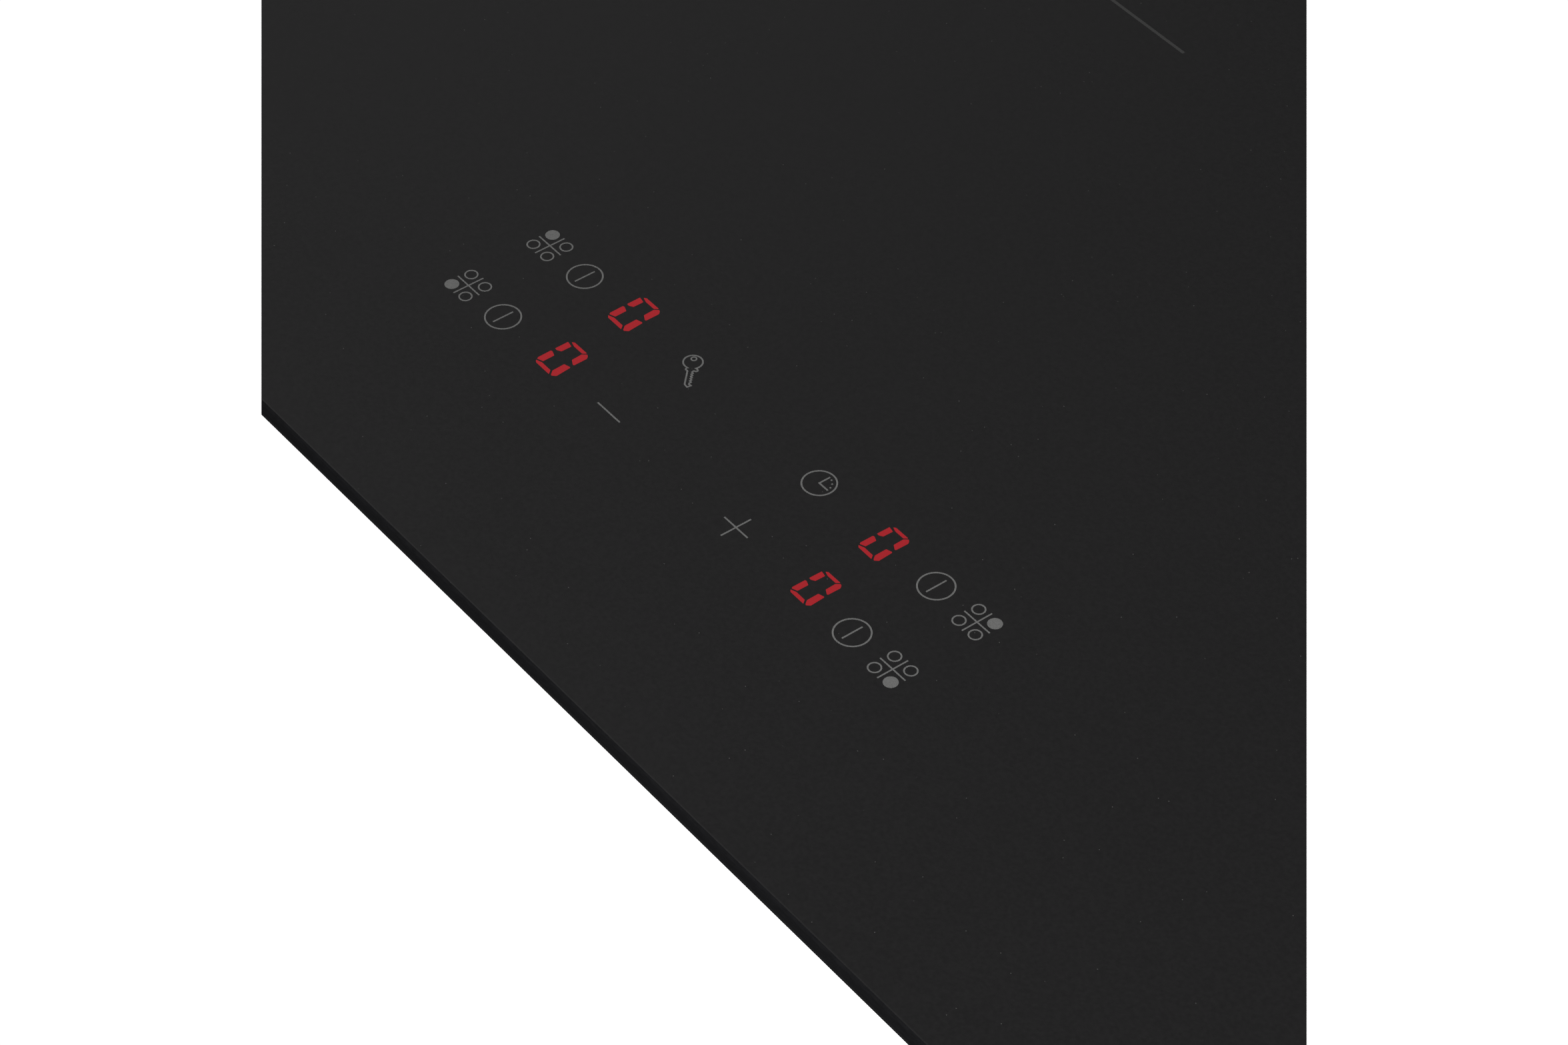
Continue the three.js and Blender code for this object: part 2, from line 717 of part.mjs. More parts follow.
addPart('glass_ceramic_plate', glassPlate(), blackGlass);
addPart('perimeter_seal', perimeterSeal(), blackFoam);
addPart('support_frame', supportFrame(), galvanised);
addPart('lower_case', lowerCase(), galvanised);

ZONES.forEach(addZone);
for (const { name, sign } of SIDES) {
  const zones = ZONES.filter((zone) => Math.sign(zone.x) === sign);
  addPart(`coil_tray_${name}`, coilTray(zones, sign), aluminium);
  addPart(`mica_sheet_${name}`, micaSheet(zones, sign), mica);
  addPart(`board_carrier_${name}`, boardCarrier(sign), blackPlastic);
  addPart(`power_board_${name}`, powerBoard(sign), circuitGreen);
  const boardTop = BOARD.bottom + BOARD.thickness + 0.1;
  addPart(`heatsink_${name}`, heatsink(), aluminium).position.set(sign * 128, -20, boardTop);
  const capacitor = roundedSlab(30, 52, 4, 20);
  addPart(`capacitor_${name}`, capacitor, blackPlastic).position.set(sign * 200, 50, boardTop);
}
SIDES.forEach(addFan);
const filterBoard = roundedSlab(92, 42, 3, BOARD.thickness);
addPart('filter_board', filterBoard, circuitGreen).position.set(90, 211, CASE.shelf + 4);

addPart('touch_board', touchBoard(), circuitGreen);
addPart('touch_pads', touchPads(), foamGrey);
addPart('touch_carrier', touchCarrier(), blackPlastic);
for (const { name, x, y } of DISPLAYS) {
  addPart(`display_${name}`, displayModule(), displayRed).position.set(x, y, TOUCH.boardTop + 0.05);
}

addPart('terminal_block', terminalBlock(), whitePlastic).position.set(
  TERMINAL_X,
  CASE.rear - 26,
  CASE.shelf + CASE.sheet + GAP,
);
addPart('terminal_cover', terminalCover(), blackPlastic).position.x = TERMINAL_X;
addPart('hinge_pin', hingePin(), zincSteel).position.x = TERMINAL_X;
addPart('cable_gland', cableGland(), blackPlastic).position.set(GLAND.x, CASE.rear, GLAND.z);

CLAMPS.forEach(addClamp);
CASE_SCREWS.forEach(addCaseScrew);

export default cooktop;
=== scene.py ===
import json
import math

import bmesh
import bpy
from mathutils import Matrix, Vector


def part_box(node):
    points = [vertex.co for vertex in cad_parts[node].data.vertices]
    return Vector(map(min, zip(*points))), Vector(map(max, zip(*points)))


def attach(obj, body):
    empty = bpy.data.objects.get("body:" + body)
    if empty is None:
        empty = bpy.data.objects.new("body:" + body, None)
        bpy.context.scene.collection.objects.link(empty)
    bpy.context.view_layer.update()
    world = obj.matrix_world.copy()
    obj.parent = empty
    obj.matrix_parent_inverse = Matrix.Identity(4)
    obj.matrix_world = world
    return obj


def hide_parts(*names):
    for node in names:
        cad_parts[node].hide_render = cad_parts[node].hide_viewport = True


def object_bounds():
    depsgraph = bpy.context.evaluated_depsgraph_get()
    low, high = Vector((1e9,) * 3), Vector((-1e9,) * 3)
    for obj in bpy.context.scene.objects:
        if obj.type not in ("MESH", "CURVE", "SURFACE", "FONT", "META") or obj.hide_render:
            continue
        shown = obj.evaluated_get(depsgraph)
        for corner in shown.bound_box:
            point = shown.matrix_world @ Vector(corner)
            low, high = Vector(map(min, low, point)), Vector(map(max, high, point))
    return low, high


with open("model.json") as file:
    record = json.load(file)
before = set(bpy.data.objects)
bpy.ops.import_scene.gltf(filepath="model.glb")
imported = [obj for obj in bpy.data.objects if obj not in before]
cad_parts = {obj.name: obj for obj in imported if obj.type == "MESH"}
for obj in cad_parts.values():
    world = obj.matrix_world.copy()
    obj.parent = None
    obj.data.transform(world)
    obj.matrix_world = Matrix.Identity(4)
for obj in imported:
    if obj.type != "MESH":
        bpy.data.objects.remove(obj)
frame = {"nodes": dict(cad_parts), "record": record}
cad_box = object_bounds()

MM = 0.001
NODES = frame["nodes"]

# ---------------------------------------------------------------- layout, from the frame

PLATE_LOW, PLATE_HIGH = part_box("glass_ceramic_plate")
SEAL_LOW, SEAL_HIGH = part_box("perimeter_seal")
TOP = PLATE_HIGH.z
FRONT = PLATE_LOW.y
PLATE_CORNER = 5 * MM
CHAMFER = 0.85 * MM

KEY_ROWS = (FRONT + 71.5 * MM, FRONT + 99.2 * MM)
POWER_KEY_X = 77.15 * MM
SETTING_KEY_X = 28.15 * MM
ZONE_ICON_X = 93.7 * MM
STROKE = 0.48 * MM
THIN_STROKE = 0.47 * MM
ICON_STROKE = 0.44 * MM
PRINT_BURY = 0.05 * MM
PRINT_HEIGHT = 0.02 * MM

ZONE_NAMES = ("front_left", "rear_left", "rear_right", "front_right")


def centre_of(node):
    low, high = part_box(node)
    return (low + high) / 2


# ---------------------------------------------------------------- mesh helpers


def mesh_piece(name, bm, materials, body="housing", smooth_angle=35):
    """A bmesh becomes a named piece that rides on a body and takes the materials it is given."""
    bmesh.ops.recalc_face_normals(bm, faces=bm.faces)
    mesh = bpy.data.meshes.new(name)
    bm.to_mesh(mesh)
    bm.free()
    mesh.shade_smooth()
    mesh.set_sharp_from_angle(angle=math.radians(smooth_angle))
    for material in materials:
        mesh.materials.append(material)
    piece = bpy.data.objects.new(name, mesh)
    bpy.context.scene.collection.objects.link(piece)
    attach(piece, body)
    return piece


def circle_points(x, y, radius, count, start=0.0, turn=2 * math.pi):
    """Points round an arc; a full circle doesn't repeat its first point."""
    steps = count if turn == 2 * math.pi else count - 1
    return [
        (
            x + radius * math.cos(start + turn * i / steps),
            y + radius * math.sin(start + turn * i / steps),
        )
        for i in range(count)
    ]


def rounded_rectangle(width, depth, corner, steps=10):
    points = []
    for quarter, (sx, sy) in enumerate(((1, 1), (-1, 1), (-1, -1), (1, -1))):
        x = sx * (width / 2 - corner)
        y = sy * (depth / 2 - corner)
        points += circle_points(x, y, corner, steps, quarter * math.pi / 2, math.pi / 2)
    return points


def loft(bm, rings):
    """Joins rings of equally many 3-D points, one after another, and closes both ends."""
    loops = [[bm.verts.new(point) for point in ring] for ring in rings]
    for lower, upper in zip(loops, loops[1:]):
        for i in range(len(lower)):
            j = (i + 1) % len(lower)
            bm.faces.new((lower[i], lower[j], upper[j], upper[i]))
    bm.faces.new(list(reversed(loops[0])))
    bm.faces.new(loops[-1])


def bridge(bm, loops):
    """Joins closed loops of equally many vertices, and the last loop to the first."""
    for i, here in enumerate(loops):
        there = loops[(i + 1) % len(loops)]
        for k in range(len(here)):
            m = (k + 1) % len(here)
            bm.faces.new((here[k], here[m], there[m], there[k]))


def raise_outline(bm, outline, z0, z1):
    """A flat closed outline becomes a plate from z0 to z1."""
    loft(bm, [[(x, y, z0) for x, y in outline], [(x, y, z1) for x, y in outline]])


def raise_band(bm, outer, inner, z0, z1):
    """The band between two closed outlines of equally many points becomes a plate."""
    sections = []
    for (ox, oy), (ix, iy) in zip(outer, inner):
        sections.append([(ox, oy, z0), (ox, oy, z1), (ix, iy, z1), (ix, iy, z0)])
    bridge(bm, [[bm.verts.new(point) for point in section] for section in sections])


def offset_path(path, distance):
    """A closed path moved sideways by a distance, with mitred corners."""
    moved = []
    for i, point in enumerate(path):
        before = Vector(path[i - 1])
        here = Vector(point)
        after = Vector(path[(i + 1) % len(path)])
        into = (here - before).normalized()
        out = (after - here).normalized()
        normal_in = Vector((-into.y, into.x))
        normal_out = Vector((-out.y, out.x))
        mitre = (normal_in + normal_out).normalized()
        stretch = 1 / max(mitre.dot(normal_in), 0.55)
        moved.append(tuple(here + mitre * distance * stretch))
    return moved


def rounded_outline(points, radius, steps=4):
    """Cuts each corner of an outline with a short curve."""
    result = []
    for i, point in enumerate(points):
        here = Vector(point)
        before = Vector(points[i - 1]) - here
        after = Vector(points[(i + 1) % len(points)]) - here
        reach = min(radius, before.length / 2.2, after.length / 2.2)
        start = here + before.normalized() * reach
        end = here + after.normalized() * reach
        for k in range(steps + 1):
            t = k / steps
            result.append(tuple(start * (1 - t) ** 2 + here * 2 * t * (1 - t) + end * t**2))
    return result


# ---------------------------------------------------------------- material helpers


def set_range(node, start, end, low, high):
    """Sets a Map Range node to take start..end to low..high."""
    values = {"From Min": start, "From Max": end, "To Min": low, "To Max": high}
    for name, value in values.items():
        node.inputs[name].default_value = value


class Shader:
    """A Principled material with small helpers for its procedural inputs."""

    def __init__(self, name, color, roughness, **sockets):
        self.material = bpy.data.materials.new(name)
        self.material.use_nodes = True
        self.tree = self.material.node_tree
        self.bsdf = next(n for n in self.tree.nodes if n.type == "BSDF_PRINCIPLED")
        self.bsdf.inputs["Base Color"].default_value = (*color, 1)
        self.bsdf.inputs["Roughness"].default_value = roughness
        for socket, value in sockets.items():
            self.bsdf.inputs[socket.replace("_", " ")].default_value = value
        self.place = self.node("ShaderNodeTexCoord").outputs["Object"]

    def node(self, kind, **values):
        node = self.tree.nodes.new(kind)
        for key, value in values.items():
            setattr(node, key, value)
        return node

    def link(self, source, target):
        self.tree.links.new(source, target)

    def scaled(self, scale):
        mapping = self.node("ShaderNodeMapping")
        mapping.inputs["Scale"].default_value = scale
        self.link(self.place, mapping.inputs["Vector"])
        return mapping.outputs["Vector"]

    def noise(self, size, detail=2.0, stretch=(1, 1, 1)):
        """Fractal noise whose features are about size metres across."""
        noise = self.node("ShaderNodeTexNoise")
        noise.inputs["Scale"].default_value = 1.0
        noise.inputs["Detail"].default_value = detail
        self.link(self.scaled([s / size for s in stretch]), noise.inputs["Vector"])
        return noise.outputs["Fac"]

    def cells(self, size, output="Distance", stretch=(1, 1, 1)):
        """Cells about size metres across; gives the distance from the middle or another output."""
        voronoi = self.node("ShaderNodeTexVoronoi")
        voronoi.inputs["Scale"].default_value = 1.0
        self.link(self.scaled([s / size for s in stretch]), voronoi.inputs["Vector"])
        return voronoi.outputs[output]

    def bricks(self, length, height, gap):
        """One along the joints of a brick bond laid in plan, nought inside the bricks."""
        bricks = self.node("ShaderNodeTexBrick")
        bricks.inputs["Scale"].default_value = 1.0
        bricks.inputs["Mortar Size"].default_value = gap / MM / 2
        bricks.inputs["Brick Width"].default_value = length / MM
        bricks.inputs["Row Height"].default_value = height / MM
        self.link(self.scaled([1 / MM] * 3), bricks.inputs["Vector"])
        return bricks.outputs["Fac"]

    def math(self, operation, a, b=0.0):
        node = self.node("ShaderNodeMath", operation=operation)
        for index, value in enumerate((a, b)):
            if isinstance(value, (int, float)):
                node.inputs[index].default_value = value
            else:
                self.link(value, node.inputs[index])
        return node.outputs[0]

    def ramp(self, factor, low, high, start=0.3, end=0.7):
        """Maps a factor from start..end to low..high."""
        node = self.node("ShaderNodeMapRange")
        self.link(factor, node.inputs["Value"])
        set_range(node, start, end, low, high)
        return node.outputs["Result"]

    def blend(self, factor, first, second):
        """Mixes two colours, each a tuple or an output."""
        node = self.node("ShaderNodeMix", data_type="RGBA")
        self.link(factor, node.inputs["Factor"])
        for socket, value in (("A", first), ("B", second)):
            target = next(i for i in node.inputs if i.name == socket and i.type == "RGBA")
            if isinstance(value, tuple):
                target.default_value = (*value, 1)
            else:
                self.link(value, target)
        return next(o for o in node.outputs if o.type == "RGBA")

    def colour(self, output):
        self.link(output, self.bsdf.inputs["Base Color"])

    def rough(self, output):
        self.link(output, self.bsdf.inputs["Roughness"])

    def bump(self, height, depth):
        """Adds relief of about depth metres; a second call stacks on the first."""
        node = self.node("ShaderNodeBump")
        node.inputs["Strength"].default_value = 1.0
        node.inputs["Distance"].default_value = depth
        self.link(height, node.inputs["Height"])
        normal = self.bsdf.inputs["Normal"]
        if normal.is_linked:
            self.link(normal.links[0].from_socket, node.inputs["Normal"])
        self.link(node.outputs["Normal"], normal)


# ---------------------------------------------------------------- materials


def glass_top():
    """Dense black glass-ceramic with a silky top and a scatter of dust."""
    s = Shader("glass_top", (0.0069, 0.0067, 0.0069), 0.3, IOR=1.5)
    grain = s.noise(1.2 * MM, 3)
    haze = s.noise(90 * MM, 2)
    body = s.blend(s.ramp(grain, 0, 1), (0.0062, 0.006, 0.0062), (0.0076, 0.0074, 0.0076))
    specks = s.math("LESS_THAN", s.cells(3.4 * MM), 0.045)
    chosen = s.math("GREATER_THAN", s.noise(5 * MM, 1), 0.53)
    dust = s.math("MULTIPLY", specks, chosen)
    s.colour(s.blend(dust, body, (0.045, 0.045, 0.044)))
    s.rough(s.math("ADD", s.ramp(haze, 0.27, 0.31), s.ramp(grain, 0, 0.05)))
    s.bump(grain, 0.002 * MM)
    return s.material


def glass_edge():
    """The sawn and ground edge of the plate, dull; its colour is a little darker than the top as
    painted shade on the edge band.
    """
    s = Shader("glass_edge", (0.0066, 0.0066, 0.007), 0.6, Specular_IOR_Level=0.0)
    streaks = s.noise(0.35 * MM, 3, (0.15, 0.15, 1))
    # painted shade: the edge's colour range sits a little below the top's, for the shade that falls on
    # the edge band
    s.colour(s.blend(s.ramp(streaks, 0, 1), (0.0054, 0.0054, 0.0058), (0.0076, 0.0076, 0.0082)))
    s.bump(streaks, 0.006 * MM)
    return s.material


def seal_foam():
    s = Shader("seal_foam", (0.0095, 0.0095, 0.0098), 0.9, Specular_IOR_Level=0.0)
    pores = s.cells(0.35 * MM)
    s.colour(s.blend(s.ramp(pores, 0, 1, 0.1, 0.7), (0.013, 0.013, 0.0134), (0.0065, 0.0065, 0.0068)))
    s.bump(pores, 0.05 * MM)
    return s.material


def printed_grey():
    """Grey ceramic ink, slightly grainy where the screen laid it down."""
    s = Shader("printed_grey", (0.09, 0.09, 0.0885), 0.5)
    grain = s.noise(0.22 * MM, 2)
    s.colour(s.blend(s.ramp(grain, 0, 1), (0.073, 0.073, 0.0715), (0.108, 0.108, 0.1065)))
    s.bump(grain, 0.004 * MM)
    return s.material


def line_grey():
    s = Shader("line_grey", (0.03, 0.03, 0.0295), 0.45)
    grain = s.noise(0.3 * MM, 2)
    s.colour(s.blend(s.ramp(grain, 0, 1), (0.023, 0.023, 0.0225), (0.031, 0.031, 0.0305)))
    s.bump(grain, 0.004 * MM)
    return s.material


def display_light():
    """A lit segment, seen through the plate."""
    s = Shader("display_light", (0.05, 0.004, 0.005), 0.4, Emission_Strength=1.0)
    grain = s.noise(0.4 * MM, 2)
    lit = s.blend(s.ramp(grain, 0, 1), (0.26, 0.005, 0.009), (0.29, 0.007, 0.012))
    s.link(lit, s.bsdf.inputs["Emission Color"])
    return s.material


def galvanised_steel():
    """Hot-dip galvanised sheet with soft spangle, rolling lines and a few dull patches."""
    s = Shader("galvanised_steel", (0.5, 0.52, 0.53), 0.4, Metallic=1.0)
    spangle = s.cells(4.5 * MM, "Color")
    split = s.node("ShaderNodeSeparateColor")
    s.link(spangle, split.inputs["Color"])
    facet = split.outputs["Red"]
    cloud = s.noise(60 * MM, 2)
    tone = s.math("ADD", s.math("MULTIPLY", facet, 0.75), s.math("MULTIPLY", cloud, 0.25))
    s.colour(s.blend(s.ramp(tone, 0, 1, 0.1, 0.9), (0.5, 0.52, 0.535), (0.6, 0.615, 0.625)))
    s.rough(s.ramp(split.outputs["Green"], 0.34, 0.44, 0, 1))
    s.bump(s.noise(0.8 * MM, 3), 0.006 * MM)
    return s.material


def zinc_steel():
    s = Shader("zinc_steel", (0.62, 0.63, 0.65), 0.3, Metallic=1.0)
    grain = s.noise(0.5 * MM, 3)
    s.colour(s.blend(s.ramp(grain, 0, 1), (0.55, 0.56, 0.58), (0.68, 0.69, 0.72)))
    s.rough(s.ramp(grain, 0.24, 0.38))
    s.bump(grain, 0.008 * MM)
    return s.material


def aluminium():
    """Mill-finish aluminium with fine rolling lines along Y."""
    s = Shader("aluminium", (0.7, 0.71, 0.72), 0.35, Metallic=1.0)
    lines = s.noise(0.5 * MM, 3, (1, 0.02, 1))
    s.colour(s.blend(s.ramp(lines, 0, 1), (0.64, 0.65, 0.66), (0.76, 0.77, 0.78)))
    s.rough(s.ramp(lines, 0.28, 0.44))
    s.bump(lines, 0.006 * MM)
    return s.material


def copper_litz():
    """Enamelled litz wire, mottled and bumpy like bundled strands."""
    s = Shader("copper_litz", (0.5, 0.2, 0.09), 0.35, Metallic=0.85)
    strands = s.noise(0.5 * MM, 2)
    s.colour(s.blend(s.ramp(strands, 0, 1), (0.36, 0.12, 0.05), (0.62, 0.27, 0.12)))
    s.rough(s.ramp(strands, 0.28, 0.45))
    s.bump(strands, 0.05 * MM)
    return s.material


def ferrite():
    s = Shader("ferrite", (0.03, 0.03, 0.033), 0.7)
    grain = s.noise(0.6 * MM, 4)
    s.colour(s.blend(s.ramp(grain, 0, 1), (0.022, 0.022, 0.024), (0.042, 0.042, 0.046)))
    s.rough(s.ramp(grain, 0.6, 0.82))
    s.bump(grain, 0.03 * MM)
    return s.material


def moulded(name, dark, light, roughness):
    """Moulded plastic with a fine spark-eroded texture."""
    s = Shader(name, light, roughness)
    grain = s.noise(0.4 * MM, 3)
    cloud = s.noise(30 * MM, 2)
    s.colour(s.blend(s.ramp(cloud, 0, 1), dark, light))
    s.rough(s.ramp(grain, roughness - 0.07, roughness + 0.07))
    s.bump(grain, 0.02 * MM)
    return s.material


def mica():
    """Pressed mica: overlapping flakes in warm grey."""
    s = Shader("mica", (0.48, 0.41, 0.26), 0.5)
    flakes = s.cells(5 * MM, "Color")
    split = s.node("ShaderNodeSeparateColor")
    s.link(flakes, split.inputs["Color"])
    s.colour(s.blend(s.ramp(split.outputs["Red"], 0, 1, 0, 1), (0.42, 0.36, 0.23), (0.55, 0.48, 0.33)))
    s.rough(s.ramp(split.outputs["Green"], 0.35, 0.6, 0, 1))
    s.bump(split.outputs["Red"], 0.01 * MM)
    return s.material


def circuit_board():
    """Green solder resist over copper tracks that show faintly lighter."""
    s = Shader("circuit_board", (0.008, 0.055, 0.024), 0.35)
    long_runs = s.bricks(24 * MM, 5 * MM, 0.7 * MM)
    short_runs = s.bricks(7 * MM, 13 * MM, 0.5 * MM)
    pads = s.math("LESS_THAN", s.cells(5 * MM, stretch=(1, 1, 0.01)), 0.14)
    copper = s.math("MAXIMUM", s.math("MAXIMUM", long_runs, short_runs), pads)
    s.colour(s.blend(copper, (0.006, 0.045, 0.02), (0.014, 0.085, 0.036)))
    s.rough(s.ramp(s.noise(1.5 * MM, 2), 0.28, 0.42))
    s.bump(copper, 0.02 * MM)
    return s.material


def sensor_foam():
    s = Shader("sensor_foam", (0.1, 0.105, 0.11), 0.95)
    pores = s.cells(0.5 * MM)
    s.colour(s.blend(s.ramp(pores, 0, 1, 0.1, 0.7), (0.13, 0.135, 0.14), (0.05, 0.052, 0.055)))
    s.bump(pores, 0.1 * MM)
    return s.material


def display_resin():
    s = Shader("display_resin", (0.1, 0.01, 0.01), 0.2, IOR=1.5)
    haze = s.noise(3 * MM, 2)
    s.colour(s.blend(s.ramp(haze, 0, 1), (0.085, 0.007, 0.008), (0.12, 0.013, 0.013)))
    s.rough(s.ramp(haze, 0.15, 0.28))
    return s.material


def label_film():
    """Brushed silver polyester film, left blank."""
    s = Shader("label_film", (0.68, 0.68, 0.67), 0.35, Metallic=0.7)
    lines = s.noise(0.3 * MM, 2, (0.03, 1, 1))
    s.colour(s.blend(s.ramp(lines, 0, 1), (0.6, 0.6, 0.59), (0.74, 0.74, 0.73)))
    s.rough(s.ramp(lines, 0.28, 0.42))
    return s.material


MATERIALS = {
    "glass_ceramic": glass_top(),
    "glass_edge": glass_edge(),
    "seal_foam": seal_foam(),
    "galvanised_steel": galvanised_steel(),
    "zinc_steel": zinc_steel(),
    "aluminium": aluminium(),
    "copper_litz": copper_litz(),
    "ferrite": ferrite(),
    "black_plastic": moulded("black_plastic", (0.012, 0.012, 0.013), (0.02, 0.02, 0.021), 0.5),
    "white_plastic": moulded("white_plastic", (0.56, 0.545, 0.5), (0.64, 0.625, 0.58), 0.5),
    "mica": mica(),
    "circuit_board": circuit_board(),
    "sensor_foam": sensor_foam(),
    "display_resin": display_resin(),
    "printed_grey": printed_grey(),
    "line_grey": line_grey(),
    "display_light": display_light(),
    "label_film": label_film(),
}


# Edge radius of each finish: folded sheet, cast and moulded parts, and brittle ones.
EDGE_RADIUS = {
    "galvanised_steel": 0.25 * MM,
    "aluminium": 0.2 * MM,
    "zinc_steel": 0.25 * MM,
    "black_plastic": 0.35 * MM,
    "white_plastic": 0.3 * MM,
    "ferrite": 0.4 * MM,
    "circuit_board": 0.12 * MM,
    "display_resin": 0.2 * MM,
    "sensor_foam": 0.1 * MM,
}


def soften(node, radius):
    """Rounds the sharp edges of a CAD node and shades its curved faces smoothly."""
    node.data.shade_smooth()
    weld = node.modifiers.new("weld", "WELD")
    weld.merge_threshold = 0.001 * MM
    bevel = node.modifiers.new("soft_edges", "BEVEL")
    bevel.width = radius
    bevel.segments = 2
    bevel.limit_method = "ANGLE"
    bevel.angle_limit = math.radians(40)
    node.modifiers.new("flat_faces", "WEIGHTED_NORMAL")


def finish_cad_nodes():
    """Each CAD node takes the procedural material of its record slot; nodes whose slot is in
    EDGE_RADIUS also get softened edges.
    """
    for row in frame["record"]["subparts"]:
        node = NODES[row["node"]]
        slot = row["material_slot"]
        node.data.materials.clear()
        node.data.materials.append(MATERIALS[slot])
        if slot in EDGE_RADIUS:
            soften(node, EDGE_RADIUS[slot])


# ---------------------------------------------------------------- plate and seal


def rounded_level(width, depth, inset, z):
    corner = PLATE_CORNER - inset
    outline = rounded_rectangle(width - 2 * inset, depth - 2 * inset, corner)
    return [(x, y, z) for x, y in outline]


def add_plate():
    """The plate with its ground chamfer and the two small radii that polish leaves on it."""
    width = PLATE_HIGH.x - PLATE_LOW.x
    depth = PLATE_HIGH.y - PLATE_LOW.y
    soft = 0.18 * MM
    levels = [(soft, PLATE_LOW.z), (0, PLATE_LOW.z + soft), (0, TOP - CHAMFER - soft)]
    levels.append((0.3 * soft, TOP - CHAMFER + 0.3 * soft))
    levels.append((CHAMFER - soft, TOP - 0.75 * soft))
    levels.append((CHAMFER - 0.45 * soft, TOP - 0.25 * soft))
    levels.append((CHAMFER + 0.3 * soft, TOP))
    levels.append((CHAMFER + 0.7 * soft, TOP))
    bm = bmesh.new()
    loft(bm, [rounded_level(width, depth, inset, z) for inset, z in levels])
    ground = TOP - 0.9 * soft
    for face in bm.faces:
        face.material_index = 1 if face.calc_center_median().z < ground else 0
    plate = mesh_piece(
        "glass_plate",
        bm,
        [MATERIALS["glass_ceramic"], MATERIALS["glass_edge"]],
        smooth_angle=30,
    )
    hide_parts("glass_ceramic_plate")


def add_seal():
    width = SEAL_HIGH.x - SEAL_LOW.x
    depth = SEAL_HIGH.y - SEAL_LOW.y
    strip = 9 * MM
    bulge = 0.08 * MM
    bm = bmesh.new()
    sections = []
    steps = 5
    for k in range(steps + 1):
        angle = math.pi * k / steps
        inset = bulge * (1 - math.sin(angle))
        sections.append((inset, SEAL_LOW.z + (SEAL_HIGH.z - SEAL_LOW.z) * k / steps))
    sections += [(strip, SEAL_HIGH.z), (strip, SEAL_LOW.z)]
    loops = []
    for inset, z in sections:
        corner = max(PLATE_CORNER - inset, 1.2 * MM)
        outline = rounded_rectangle(width - 2 * inset, depth - 2 * inset, corner)
        loops.append([bm.verts.new((x, y, z)) for x, y in outline])
    bridge(bm, loops)
    seal = mesh_piece("seal_strip", bm, [MATERIALS["seal_foam"]], smooth_angle=50)
    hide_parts("perimeter_seal")


# ---------------------------------------------------------------- printed symbols


class Print:
    """Flat symbols on the plate, each a closed skin of ink that starts just inside the surface."""

    def __init__(self, name):
        self.name = name
        self.bm = bmesh.new()
        self.low = TOP - PRINT_BURY
        self.high = TOP + PRINT_HEIGHT

    def area(self, outline):
        raise_outline(self.bm, outline, self.low, self.high)

    def bar(self, x0, y0, x1, y1, width=STROKE):
        along = Vector((x1 - x0, y1 - y0)).normalized() * width / 2
        side = Vector((-along.y, along.x))
        start, end = Vector((x0, y0)), Vector((x1, y1))
        corners = [start - side, end - side, end + side, start + side]
        self.area(rounded_outline([tuple(c) for c in corners], width * 0.2, 2))

    def ring(self, x, y, radius, width=STROKE, count=72):
        outer = circle_points(x, y, radius + width / 2, count)
        inner = circle_points(x, y, radius - width / 2, count)
        raise_band(self.bm, outer, inner, self.low, self.high)

    def dot(self, x, y, radius, count=40):
        self.area(circle_points(x, y, radius, count))

    def closed_line(self, path, width=STROKE):
        outer = offset_path(path, -width / 2)
        inner = offset_path(path, width / 2)
        raise_band(self.bm, outer, inner, self.low, self.high)

    def cross(self, x, y, arm_x, arm_y, width=STROKE):
        h = width / 2
        quarter = [(h, h), (h, arm_y), (-h, arm_y), (-h, h), (-arm_x, h), (-arm_x, -h)]
        outline = quarter + [(-px, -py) for px, py in quarter]
        self.area([(x + px, y + py) for px, py in outline])

    def done(self, material="printed_grey"):
        return mesh_piece(self.name, self.bm, [MATERIALS[material]])


def add_power_key(name, x, y):
    key = Print(f"print_power_key_{name}")
    key.ring(x, y, 5.0 * MM, THIN_STROKE)
    key.bar(x, y - 3.4 * MM, x, y + 3.4 * MM, THIN_STROKE)
    key.done()


def add_zone_icon(name, x, y):
    """Four rings round a cross; the ring of the icon's own zone is filled."""
    icon = Print(f"print_zone_icon_{name}")
    icon.cross(x, y, 5.1 * MM, 5.04 * MM, ICON_STROKE)
    offset = 3.28 * MM
    own = (1 if name.endswith("right") else -1, 1 if name.startswith("rear") else -1)
    for corner in ((-1, -1), (1, -1), (1, 1), (-1, 1)):
        cx = x + corner[0] * offset
        cy = y + corner[1] * offset
        if corner == own:
            icon.dot(cx, cy, 2.05 * MM)
        else:
            icon.ring(cx, cy, 1.76 * MM, ICON_STROKE, 48)
    icon.done()


def add_minus(x, y):
    minus = Print("print_minus")
    minus.bar(x - 5 * MM, y, x + 5 * MM, y)
    minus.done()


def add_plus(x, y):
    plus = Print("print_plus")
    plus.cross(x, y, 5 * MM, 5 * MM)
    plus.done()


def add_timer(x, y):
    timer = Print("print_timer")
    timer.ring(x, y, 4.74 * MM, THIN_STROKE)
    h = STROKE / 2
    reach = 3.64 * MM
    hands = [(-h, -h), (reach, -h), (reach, h), (h, h), (h, reach), (-h, reach)]
    timer.area([(x + px, y + py) for px, py in hands])
    for degrees in (20, 45.5, 71):
        angle = math.radians(degrees)
        radius = 3.43 * MM
        timer.dot(x + radius * math.cos(angle), y + radius * math.sin(angle), 0.28 * MM, 20)
    timer.done()


